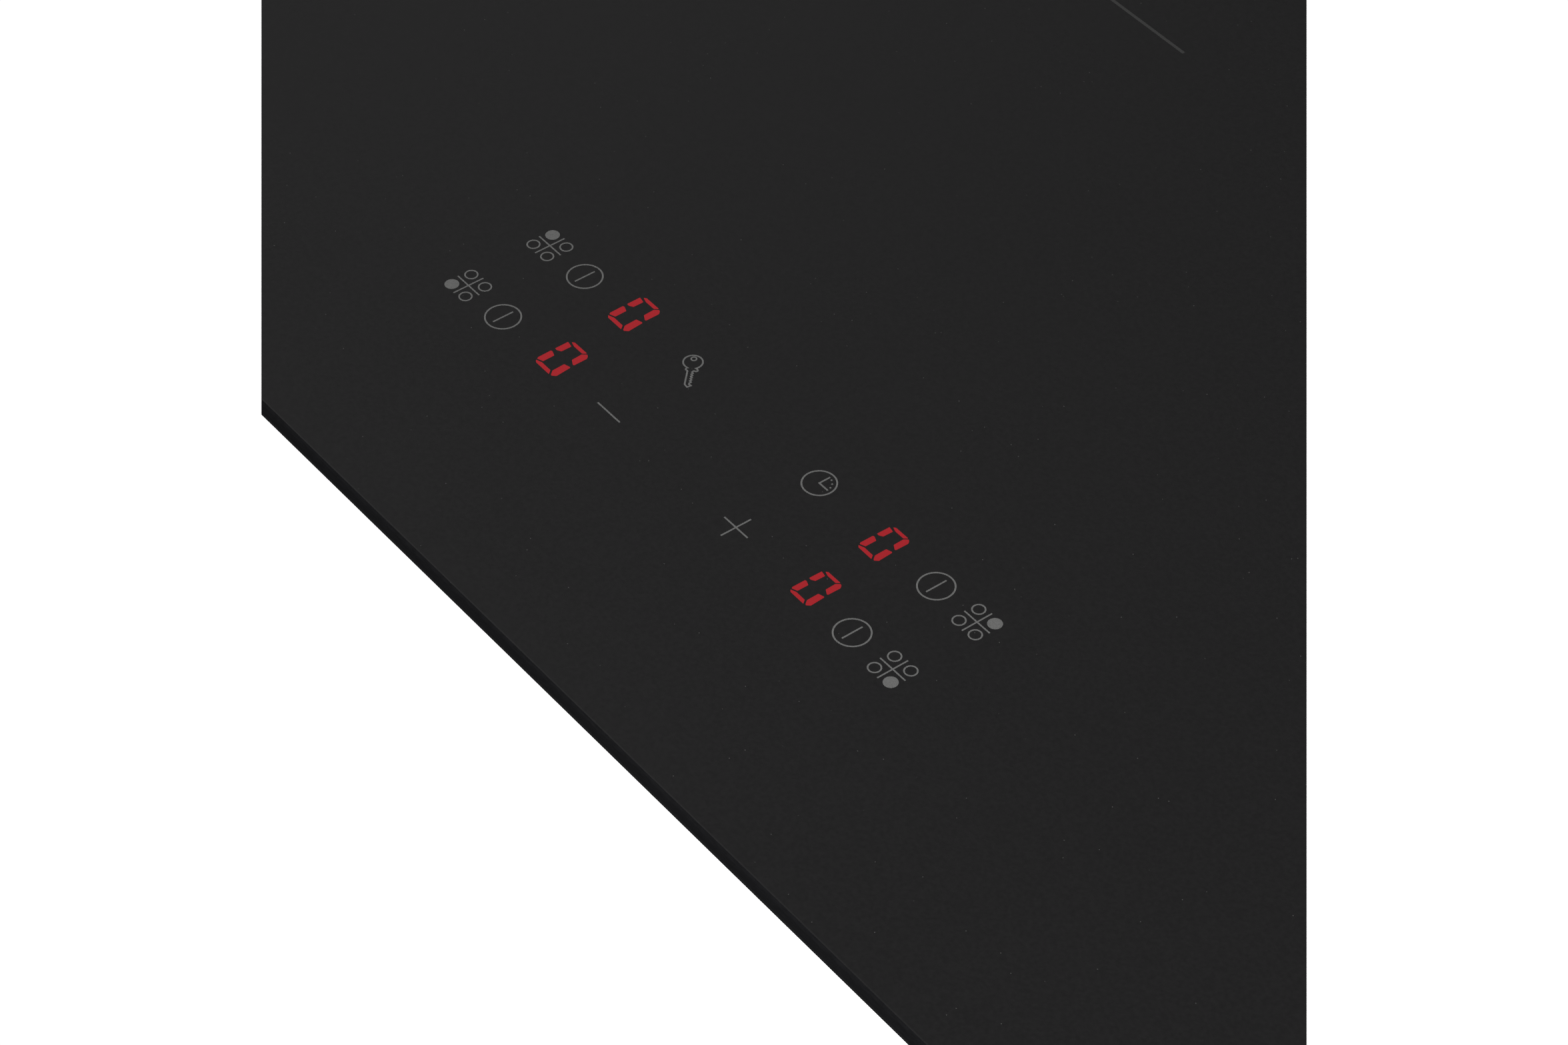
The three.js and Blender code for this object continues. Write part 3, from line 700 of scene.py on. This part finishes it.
def key_outline():
    """The lock key's outline along its own axis: bow, collar, straight back and five teeth."""
    bow = circle_points(0, 0, 2.7, 36, math.radians(24), math.radians(313))
    collar_back = [(2.45, -1.42), (3.32, -1.56), (3.76, -1.0)]
    tip = [(9.25, -1.0), (10.25, -0.2), (9.55, 0.76), (9.05, 0.15)]
    teeth = []
    for k in range(5):
        teeth += [(8.6 - 0.9 * k, 0.2), (8.15 - 0.9 * k, 0.62)]
    collar_front = [(4.1, 0.26), (3.57, 0.72), (3.76, 1.4), (3.42, 1.79), (2.92, 1.68)]
    return bow + collar_back + tip + teeth + collar_front


def add_lock_key(x, y):
    """The key lies at 45 degrees, with its bow at the upper left."""
    lock = Print("print_key_lock")
    half = math.sqrt(0.5)
    bow_x = x - 2.35 * MM
    bow_y = y + 2.4 * MM

    def placed(u, v):
        return (bow_x + (u + v) * half * MM, bow_y + (v - u) * half * MM)

    lock.closed_line([placed(u, v) for u, v in key_outline()], THIN_STROKE)
    lock.ring(*placed(-1.3, 0.05), 0.74 * MM, 0.42 * MM, 28)
    lock.done()


def add_zone_lines():
    """A dim line between the front and the rear zone on each side."""
    lines = Print("print_zone_lines")
    y = FRONT + 296.5 * MM
    middle, length = 148 * MM, 194 * MM
    for side in (-1, 1):
        lines.bar(side * middle - length / 2, y, side * middle + length / 2, y, 1.05 * MM)
    lines.done("line_grey")


def add_symbols():
    for row, end in zip(KEY_ROWS, ("front", "rear")):
        for sign, side in ((-1, "left"), (1, "right")):
            add_power_key(f"{end}_{side}", sign * POWER_KEY_X, row)
            add_zone_icon(f"{end}_{side}", sign * ZONE_ICON_X, row)
    add_minus(-SETTING_KEY_X, KEY_ROWS[0])
    add_plus(SETTING_KEY_X, KEY_ROWS[0])
    add_lock_key(-SETTING_KEY_X, KEY_ROWS[1])
    add_timer(SETTING_KEY_X, KEY_ROWS[1])
    add_zone_lines()


# ---------------------------------------------------------------- lit digits

# The six lit segments of a nought, in millimetres from the middle of the digit.
NOUGHT = (
    [(-4.78, 5.4), (-2.45, 4.95), (-2.5, 1.5), (-3.75, 0.72), (-4.78, 0.8)],
    [(-4.15, 5.92), (-3.3, 6.65), (2.3, 6.65), (2.42, 6.35), (1.55, 5.32), (-2.2, 5.32)],
    [(2.7, 6.45), (3.4, 6.2), (4.2, 5.3), (4.2, 0.85), (3.7, 0.65), (1.85, 1.65), (1.65, 5.2)],
    [(-4.78, -0.5), (-4.2, -0.22), (-2.35, -0.9), (-2.3, -4.8), (-4.3, -5.55), (-4.7, -4.9)],
    [(1.95, -0.85), (4.05, -0.22), (4.4, -0.5), (4.8, -5.4), (3.75, -6.5), (3.2, -6.3), (2.1, -4.95)],
    [(-4.3, -5.9), (-2.25, -5.13), (1.8, -5.18), (2.95, -6.66), (-3.3, -6.62)],
)
# Width and height of each digit against the outline above, and its lean to the right.
DIGIT_SCALE = {
    "front_left": (1.0, 1.0, 0.0),
    "rear_left": (1.0, 1.01, 0.0),
    "rear_right": (0.9, 0.95, 0.02),
    "front_right": (0.9, 0.94, 0.02),
}
# How far a lit segment falls short of its outline, and the radius of its corners.
SEGMENT_TRIM = 0.11 * MM
SEGMENT_CORNER = 0.16 * MM


def shrunk(outline, trim):
    """An outline moved inwards, whichever way round it runs."""
    area = sum(
        outline[i - 1][0] * y - outline[i - 1][1] * x for i, (x, y) in enumerate(outline)
    )
    return offset_path(outline, trim if area > 0 else -trim)


def add_digit(zone):
    middle = centre_of(f"display_{zone}")
    wide, high, lean = DIGIT_SCALE[zone]
    digit = Print(f"lit_digit_{zone}")
    for segment in NOUGHT:
        outline = [
            (middle.x + (x * wide + y * lean) * MM, middle.y + y * high * MM)
            for x, y in segment
        ]
        digit.area(rounded_outline(shrunk(outline, SEGMENT_TRIM), SEGMENT_CORNER, 3))
    digit.done("display_light")


# ---------------------------------------------------------------- rating plate and screws


def add_rating_plate():
    """A blank silver film on the rear wall, beside the terminal cover."""
    wall = 240 * MM
    centre_x = 60 * MM
    centre_z = 31 * MM
    height = 19 * MM
    bm = bmesh.new()
    outline = rounded_rectangle(62 * MM, height, 2 * MM, 5)
    levels = ((0, -0.05 * MM), (0, 0.1 * MM), (0.06 * MM, 0.14 * MM))
    rings = []
    for inset, out in levels:
        shrink = 1 - 2 * inset / height
        rings.append([(centre_x + x * shrink, wall + out, centre_z + z * shrink) for x, z in outline])
    loft(bm, rings)
    mesh_piece("rating_plate", bm, [MATERIALS["label_film"]], smooth_angle=60)


def cross_radius(angle, arm, half):
    """How far a cross with this arm length and half width reaches in one direction."""
    small, large = sorted((abs(math.cos(angle)), abs(math.sin(angle))))
    return min(arm / large, half / max(small, 1e-9))


def screw_rings(head_radius, head_height, shank_radius, length):
    """Rings from the shank's tip to the floor of the cross recess; the head points down."""
    arm, half = 0.5 * head_radius, 0.11 * head_radius
    corner = math.atan2(half, arm)
    between = (corner + math.pi / 4) / 2
    eighth = [0, corner, between, math.pi / 4, math.pi / 2 - between, math.pi / 2 - corner]
    angles = [quarter * math.pi / 2 + angle for quarter in range(4) for angle in eighth]
    pitch = 0.8 * MM
    profile = [(0.35 * shank_radius, length), (0.8 * shank_radius, length - 0.5 * pitch)]
    for k in range(1, int(length / pitch)):
        profile.append((shank_radius, length - k * pitch))
        profile.append((0.8 * shank_radius, length - (k + 0.5) * pitch))
    profile.append((shank_radius * 0.9, 0))
    for spread, drop in ((0.94, 0), (1, 0.08), (1, 0.45), (0.96, 0.66), (0.86, 0.84), (0.7, 0.96)):
        profile.append((spread * head_radius, -drop * head_height))
    profile.append((0.6 * head_radius, -head_height))
    rings = [[(r * math.cos(a), r * math.sin(a), z) for a in angles] for r, z in profile]
    for scale, depth in ((1, 0), (0.85, 0.45)):
        z = (depth - 1) * head_height
        recess = []
        for a in angles:
            r = scale * cross_radius(a, arm, half)
            recess.append((r * math.cos(a), r * math.sin(a), z))
        rings.append(recess)
    return rings


def add_screw(node, body, seat, tilt, sizes):
    """A pan-head screw with a cross recess, at its seat and tilted round Y."""
    place = Matrix.Translation(seat) @ Matrix.Rotation(tilt, 4, "Y")
    bm = bmesh.new()
    rings = [[place @ Vector(point) for point in ring] for ring in screw_rings(*sizes)]
    loft(bm, rings)
    piece = mesh_piece(f"{node}_cross_head", bm, [MATERIALS["zinc_steel"]], body)
    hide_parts(node)


def add_screws():
    """Sizes are head radius, head height, shank radius and length."""
    case_sizes = (3.4 * MM, 1.9 * MM, 1.5 * MM, 6 * MM)
    clamp_sizes = (4.4 * MM, 3.4 * MM, 2 * MM, 16 * MM)
    case_wall = 278.3 * MM
    clamp_seat = 6.7 * MM
    for side, sign in (("left", -1), ("right", 1)):
        for end in ("front", "rear"):
            node = f"case_screw_{side}_{end}"
            middle = centre_of(node)
            seat = Vector((sign * case_wall, middle.y, middle.z))
            add_screw(node, "housing", seat, -sign * math.pi / 2, case_sizes)
            node = f"clamp_screw_{end}_{side}"
            middle = centre_of(node)
            seat = Vector((middle.x, middle.y, clamp_seat))
            add_screw(node, f"clamp_{end}_{side}", seat, 0, clamp_sizes)


# ---------------------------------------------------------------- coils and board components


# One turn of litz in section, in half widths and half heights.
TURN_SECTION = (
    (1, 0.45),
    (0.6, 1),
    (-0.6, 1),
    (-1, 0.45),
    (-1, -0.45),
    (-0.6, -1),
    (0.6, -1),
    (1, -0.45),
)


def add_litz_coil(zone):
    """A flat spiral of litz wire with rounded turns that just clear each other."""
    node = f"coil_winding_{zone}"
    low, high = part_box(node)
    middle = (low + high) / 2
    pitch = 3.3 * MM
    half_width = 1.57 * MM
    half_height = (high.z - low.z) / 2
    inner_radius = 25.5 * MM
    first = inner_radius + half_width
    last = (high.x - low.x) / 2 - half_width
    turns = int((last - first) / pitch)
    per_turn = 40
    section = [(half_width * x, half_height * z) for x, z in TURN_SECTION]
    rings = []
    for step in range(turns * per_turn + 1):
        angle = 2 * math.pi * step / per_turn
        radius = first + (last - first) * step / (turns * per_turn)
        ring = []
        for out, up in section:
            reach = radius + out
            x = middle.x + reach * math.cos(angle)
            y = middle.y + reach * math.sin(angle)
            ring.append((x, y, middle.z + up))
        rings.append(ring)
    bm = bmesh.new()
    loft(bm, rings)
    name = f"litz_spiral_{zone}"
    coil = mesh_piece(name, bm, [MATERIALS["copper_litz"]], smooth_angle=60)
    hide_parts(node)


def soft_box(bm, x, y, z, width, depth, height, edge):
    """A box standing on z with rounded upright corners and a rounded upper rim."""
    levels = [(0, 0), (0, height - edge), (0.3 * edge, height - 0.3 * edge), (edge, height)]
    rings = []
    for inset, up in levels:
        outline = rounded_rectangle(width - 2 * inset, depth - 2 * inset, edge, 4)
        rings.append([(x + px, y + py, z + up) for px, py in outline])
    loft(bm, rings)


def turned(bm, x, y, profile, count=28):
    """A profile of radius and height turned round an upright axis."""
    loft(bm, [[(px, py, z) for px, py in circle_points(x, y, r, count)] for r, z in profile])


def tube_ring(bm, placed, radius, tube, count, sides):
    """A torus; placed turns a point of its own plane and height into the row frame."""
    loops = []
    for px, py in circle_points(0, 0, 1, count):
        loop = []
        for out, up in circle_points(0, 0, tube, sides):
            loop.append(bm.verts.new(placed((radius + out) * px, (radius + out) * py, up)))
        loops.append(loop)
    bridge(bm, loops)


def add_choke(name, x, y, z, radius, core, turns):
    """A flat toroid with a wire winding; core is the radius of the core's section."""
    wire = 0.7 * MM
    middle = z + core + 2 * wire + 0.1 * MM
    bm = bmesh.new()
    tube_ring(bm, lambda u, v, w: (x + u, y + v, middle + w), radius, core, 40, 12)
    mesh_piece(f"{name}_core", bm, [MATERIALS["ferrite"]], smooth_angle=60)
    bm = bmesh.new()
    for k in range(turns):
        angle = 2 * math.pi * (k + 0.5) / turns
        if abs(math.sin(angle)) > 0.96:
            continue
        c, s = math.cos(angle), math.sin(angle)

        def placed(u, v, w):
            out = radius + u
            return (x + out * c - w * s, y + out * s + w * c, middle + v)

        tube_ring(bm, placed, core + wire, wire, 16, 6)
    mesh_piece(f"{name}_winding", bm, [MATERIALS["copper_litz"]], smooth_angle=60)


def add_can_capacitor(name, x, y, z, radius, height):
    """An electrolytic can in its sleeve, with the crimped groove and the pressed lid."""
    lip = 0.09 * radius
    sleeve = [(0.93, 0), (1, 0.03), (1, 0.09), (0.93, 0.12), (1, 0.15), (1, 0.96), (0.9, 1), (0.8, 1)]
    bm = bmesh.new()
    turned(bm, x, y, [(radius * r, z + height * h) for r, h in sleeve])
    mesh_piece(f"{name}_sleeve", bm, [MATERIALS["black_plastic"]])
    bm = bmesh.new()
    top = z + height
    lid = [(0.78, -lip), (0.78, 0.3 * lip), (0.7, 0.6 * lip), (0.3, 0.4 * lip)]
    turned(bm, x, y, [(radius * r, top + up) for r, up in lid])
    mesh_piece(f"{name}_lid", bm, [MATERIALS["aluminium"]])


def add_film_capacitors(name, places, z, size):
    bm = bmesh.new()
    for x, y in places:
        soft_box(bm, x, y, z, *size, 1.2 * MM)
    mesh_piece(name, bm, [MATERIALS["white_plastic"]])


def add_chip(name, x, y, z, side, legs):
    """A square controller with a row of gull-wing legs on each side."""
    bm = bmesh.new()
    soft_box(bm, x, y, z + 0.3 * MM, side, side, 1.4 * MM, 0.3 * MM)
    mesh_piece(name, bm, [MATERIALS["black_plastic"]])
    bm = bmesh.new()
    reach = side / 2
    half = 0.2 * side / legs
    for c, s in ((1, 0), (0, 1), (-1, 0), (0, -1)):
        for k in range(legs):
            across = (k - (legs - 1) / 2) * 0.8 * side / legs
            rings = []
            for out, up in ((-0.2, 0.9), (0.5, 0.9), (0.8, 0.15), (1.5, 0.15)):
                u = reach + out * MM
                ring = []
                for v, w in ((-half, 0), (half, 0), (half, 0.15 * MM), (-half, 0.15 * MM)):
                    sideways = across + v
                    leg_x = x + u * c - sideways * s
                    leg_y = y + u * s + sideways * c
                    ring.append((leg_x, leg_y, z + up * MM + w))
                rings.append(ring)
            loft(bm, rings)
    mesh_piece(f"{name}_legs", bm, [MATERIALS["zinc_steel"]])


def add_plug_header(name, x, y, z, ways):
    """A white header: an open-topped box with a row of pins."""
    pitch = 3.96 * MM
    width = ways * pitch + 2 * MM
    depth = 8 * MM
    height = 9 * MM
    wall = 0.9 * MM
    outer = rounded_rectangle(width, depth, 0.8 * MM, 4)
    inner = rounded_rectangle(width - 2 * wall, depth - 2 * wall, 0.4 * MM, 4)
    rings = []
    for outline, up in ((outer, 0), (outer, height), (inner, height), (inner, 1.2 * MM)):
        rings.append([(x + px, y + py, z + up) for px, py in outline])
    bm = bmesh.new()
    loft(bm, rings)
    mesh_piece(name, bm, [MATERIALS["white_plastic"]])
    bm = bmesh.new()
    for k in range(ways):
        pin = x + (k - (ways - 1) / 2) * pitch
        soft_box(bm, pin, y, z + 1 * MM, 1.1 * MM, 1.1 * MM, 6.5 * MM, 0.3 * MM)
    mesh_piece(f"{name}_pins", bm, [MATERIALS["zinc_steel"]])


def add_power_components(side, sign):
    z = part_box(f"power_board_{side}")[1].z
    rows = [(sign * 185 * MM, y * MM) for y in (-112, -88, -64)]
    add_film_capacitors(f"film_capacitors_{side}", rows, z, (42 * MM, 18 * MM, 20 * MM))
    for k, y in enumerate((-20, 8)):
        name = f"can_capacitor_{side}_{k + 1}"
        add_can_capacitor(name, sign * 172 * MM, y * MM, z, 10 * MM, 21 * MM)
    add_choke(f"choke_{side}", sign * 236 * MM, -34 * MM, z, 11 * MM, 4.2 * MM, 26)
    add_chip(f"controller_{side}", sign * 205 * MM, -18 * MM, z, 12 * MM, 12)
    add_plug_header(f"header_{side}", sign * 190 * MM, 94 * MM, z, 6)


def add_filter_components():
    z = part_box("filter_board")[1].z
    add_choke("filter_choke", 66 * MM, 211 * MM, z, 10.5 * MM, 3.6 * MM, 24)
    places = [(92 * MM, y * MM) for y in (199, 211, 223)]
    add_film_capacitors("filter_capacitors", places, z, (20 * MM, 8 * MM, 10 * MM))
    add_plug_header("filter_header", 119 * MM, 211 * MM, z, 4)


# ---------------------------------------------------------------- stage

# Where the studio behind the plate is unlit, as a direction from the object.
DARK_DIRECTION = Vector((-0.5, 0.7, 0.5)).normalized()


def emission_material(name, strength):
    material = bpy.data.materials.new(name)
    material.use_nodes = True
    tree = material.node_tree
    tree.nodes.clear()
    light = tree.nodes.new("ShaderNodeEmission")
    light.inputs["Strength"].default_value = strength
    output = tree.nodes.new("ShaderNodeOutputMaterial")
    tree.links.new(light.outputs[0], output.inputs["Surface"])
    return material


def floor_material():
    """Pale studio paper that the camera sees lit from within, so that it runs out to white."""
    material = bpy.data.materials.new("studio_floor")
    material.use_nodes = True
    tree = material.node_tree
    tree.nodes.clear()
    paper = tree.nodes.new("ShaderNodeBsdfDiffuse")
    paper.inputs["Color"].default_value = (0.78, 0.78, 0.78, 1)
    glow = tree.nodes.new("ShaderNodeEmission")
    path = tree.nodes.new("ShaderNodeLightPath")
    place = tree.nodes.new("ShaderNodeTexCoord")
    distance = tree.nodes.new("ShaderNodeVectorMath")
    distance.operation = "LENGTH"
    tree.links.new(place.outputs["Object"], distance.inputs[0])
    level = tree.nodes.new("ShaderNodeMapRange")
    tree.links.new(distance.outputs["Value"], level.inputs["Value"])
    set_range(level, 0.5, 1.6, 0.72, 1.02)
    strength = tree.nodes.new("ShaderNodeMath")
    strength.operation = "MULTIPLY"
    tree.links.new(level.outputs["Result"], strength.inputs[1])
    tree.links.new(path.outputs["Is Camera Ray"], strength.inputs[0])
    tree.links.new(strength.outputs[0], glow.inputs["Strength"])
    both = tree.nodes.new("ShaderNodeAddShader")
    tree.links.new(paper.outputs[0], both.inputs[0])
    tree.links.new(glow.outputs[0], both.inputs[1])
    output = tree.nodes.new("ShaderNodeOutputMaterial")
    tree.links.new(both.outputs[0], output.inputs["Surface"])
    return material


def plain_mesh(name, corners, material):
    mesh = bpy.data.meshes.new(name)
    mesh.from_pydata(corners, [], [tuple(range(len(corners)))])
    mesh.materials.append(material)
    thing = bpy.data.objects.new(name, mesh)
    bpy.context.scene.collection.objects.link(thing)
    return thing


def add_floor():
    reach = 12.0
    z = cad_box[0].z - 0.2 * MM
    corners = [(-reach, -reach, z), (reach, -reach, z), (reach, reach, z), (-reach, reach, z)]
    plain_mesh("studio_floor", corners, floor_material())


def dark_patch(tree, place):
    """A strength of one that drops softly round one direction, where the studio is unlit."""
    towards = tree.nodes.new("ShaderNodeVectorMath")
    towards.operation = "DOT_PRODUCT"
    tree.links.new(place.outputs["Generated"], towards.inputs[0])
    towards.inputs[1].default_value = DARK_DIRECTION
    fade = tree.nodes.new("ShaderNodeMapRange")
    fade.interpolation_type = "SMOOTHSTEP"
    tree.links.new(towards.outputs["Value"], fade.inputs["Value"])
    set_range(fade, 0.973, 0.997, 1.0, 0.0)
    return fade.outputs["Result"]


def add_world():
    """White to the camera; for light and reflections, bright at the horizon and dim above it."""
    world = bpy.data.worlds.new("studio")
    bpy.context.scene.world = world
    world.use_nodes = True
    tree = world.node_tree
    tree.nodes.clear()
    place = tree.nodes.new("ShaderNodeTexCoord")
    split = tree.nodes.new("ShaderNodeSeparateXYZ")
    tree.links.new(place.outputs["Generated"], split.inputs[0])
    ramp = tree.nodes.new("ShaderNodeValToRGB")
    stops = ((0.0, 0.6), (0.2, 0.38), (0.42, 0.28), (0.62, 0.2), (0.8, 0.03), (1.0, 0.3))
    elements = ramp.color_ramp.elements
    while len(elements) < len(stops):
        elements.new(0.5)
    for element, (position, value) in zip(elements, stops):
        element.position = position
        element.color = (value, value, value, 1)
    tree.links.new(split.outputs["Z"], ramp.inputs["Fac"])
    soft = tree.nodes.new("ShaderNodeBackground")
    tree.links.new(ramp.outputs["Color"], soft.inputs["Color"])
    tree.links.new(dark_patch(tree, place), soft.inputs["Strength"])
    white = tree.nodes.new("ShaderNodeBackground")
    white.inputs["Color"].default_value = (1.05, 1.05, 1.05, 1)
    path = tree.nodes.new("ShaderNodeLightPath")
    mix = tree.nodes.new("ShaderNodeMixShader")
    tree.links.new(path.outputs["Is Camera Ray"], mix.inputs["Fac"])
    tree.links.new(soft.outputs[0], mix.inputs[1])
    tree.links.new(white.outputs[0], mix.inputs[2])
    output = tree.nodes.new("ShaderNodeOutputWorld")
    tree.links.new(mix.outputs[0], output.inputs["Surface"])


def add_softbox(name, place, aim, size, power, reflected=False):
    data = bpy.data.lights.new(name, "AREA")
    data.shape = "RECTANGLE"
    data.size, data.size_y = size
    data.energy = power
    lamp = bpy.data.objects.new(name, data)
    lamp.location = place
    lamp.rotation_euler = (Vector(aim) - Vector(place)).to_track_quat("-Z", "Y").to_euler()
    lamp.visible_glossy = reflected
    bpy.context.scene.collection.objects.link(lamp)


SENSOR = 36.0
LENS = 108.37
PICTURE_SHAPE = 1568 / 2352
VIEW_HALF_HEIGHT = SENSOR / 2 * PICTURE_SHAPE / LENS
CAMERA_DISTANCE = 1.2361


def add_camera():
    """Looks down at the touch controls from the front right."""
    azimuth, elevation, roll = (math.radians(a) for a in (52.125, 43.818, 0.163))
    back = Vector(
        (
            math.sin(azimuth) * math.cos(elevation),
            -math.cos(azimuth) * math.cos(elevation),
            math.sin(elevation),
        )
    )
    level = Vector((math.cos(azimuth), math.sin(azimuth), 0))
    upright = back.cross(level)
    right = level * math.cos(roll) + upright * math.sin(roll)
    up = upright * math.cos(roll) - level * math.sin(roll)
    aim = Vector((34.35 * MM, FRONT + 82.6 * MM, TOP))
    data = bpy.data.cameras.new("camera")
    data.lens = LENS
    data.sensor_width = SENSOR
    data.clip_start = 1 * MM
    data.clip_end = 60
    camera = bpy.data.objects.new("camera", data)
    turn = Matrix((right, up, back)).transposed()
    camera.matrix_world = Matrix.Translation(aim + back * CAMERA_DISTANCE) @ turn.to_4x4()
    bpy.context.scene.collection.objects.link(camera)
    bpy.context.scene.camera = camera
    return camera


def add_side_cards(camera):
    """Two white cards by the lens leave the middle square of the picture open."""
    white = emission_material("white_card", 1.05)
    ahead = 4 * MM
    half = VIEW_HALF_HEIGHT * ahead
    tall = 1.1 * half
    for name, side in (("left", -1), ("right", 1)):
        near = side * half
        far = side * half * 1.7
        corners = [(near, -tall), (far, -tall), (far, tall), (near, tall)]
        placed = [camera.matrix_world @ Vector((x, y, -ahead)) for x, y in corners]
        card = plain_mesh(f"frame_card_{name}", placed, white)
        card.visible_diffuse = False
        card.visible_glossy = False
        card.visible_transmission = False
        card.visible_shadow = False


# ---------------------------------------------------------------- put together

bpy.context.scene.view_settings.view_transform = "Standard"
bpy.context.view_layer.update()
camera = add_camera()
bpy.context.view_layer.update()
add_side_cards(camera)
add_floor()
add_world()
add_softbox("key_light", (1.05, -0.6, 1.0), (0, 0, 0.05), (1.2, 1.2), 46)
add_softbox("arris_light", (-1.0, -0.29, 1.41), (0, 0, 0.05), (0.9, 0.9), 1.1, reflected=True)
add_softbox("side_light", (-1.6, -2.2, 1.0), (0, 0, 0.05), (1.2, 1.2), 10)

finish_cad_nodes()
add_plate()
add_seal()
add_symbols()
for zone in ZONE_NAMES:
    add_digit(zone)
    add_litz_coil(zone)
add_rating_plate()
add_screws()
add_power_components("left", -1)
add_power_components("right", 1)
add_filter_components()
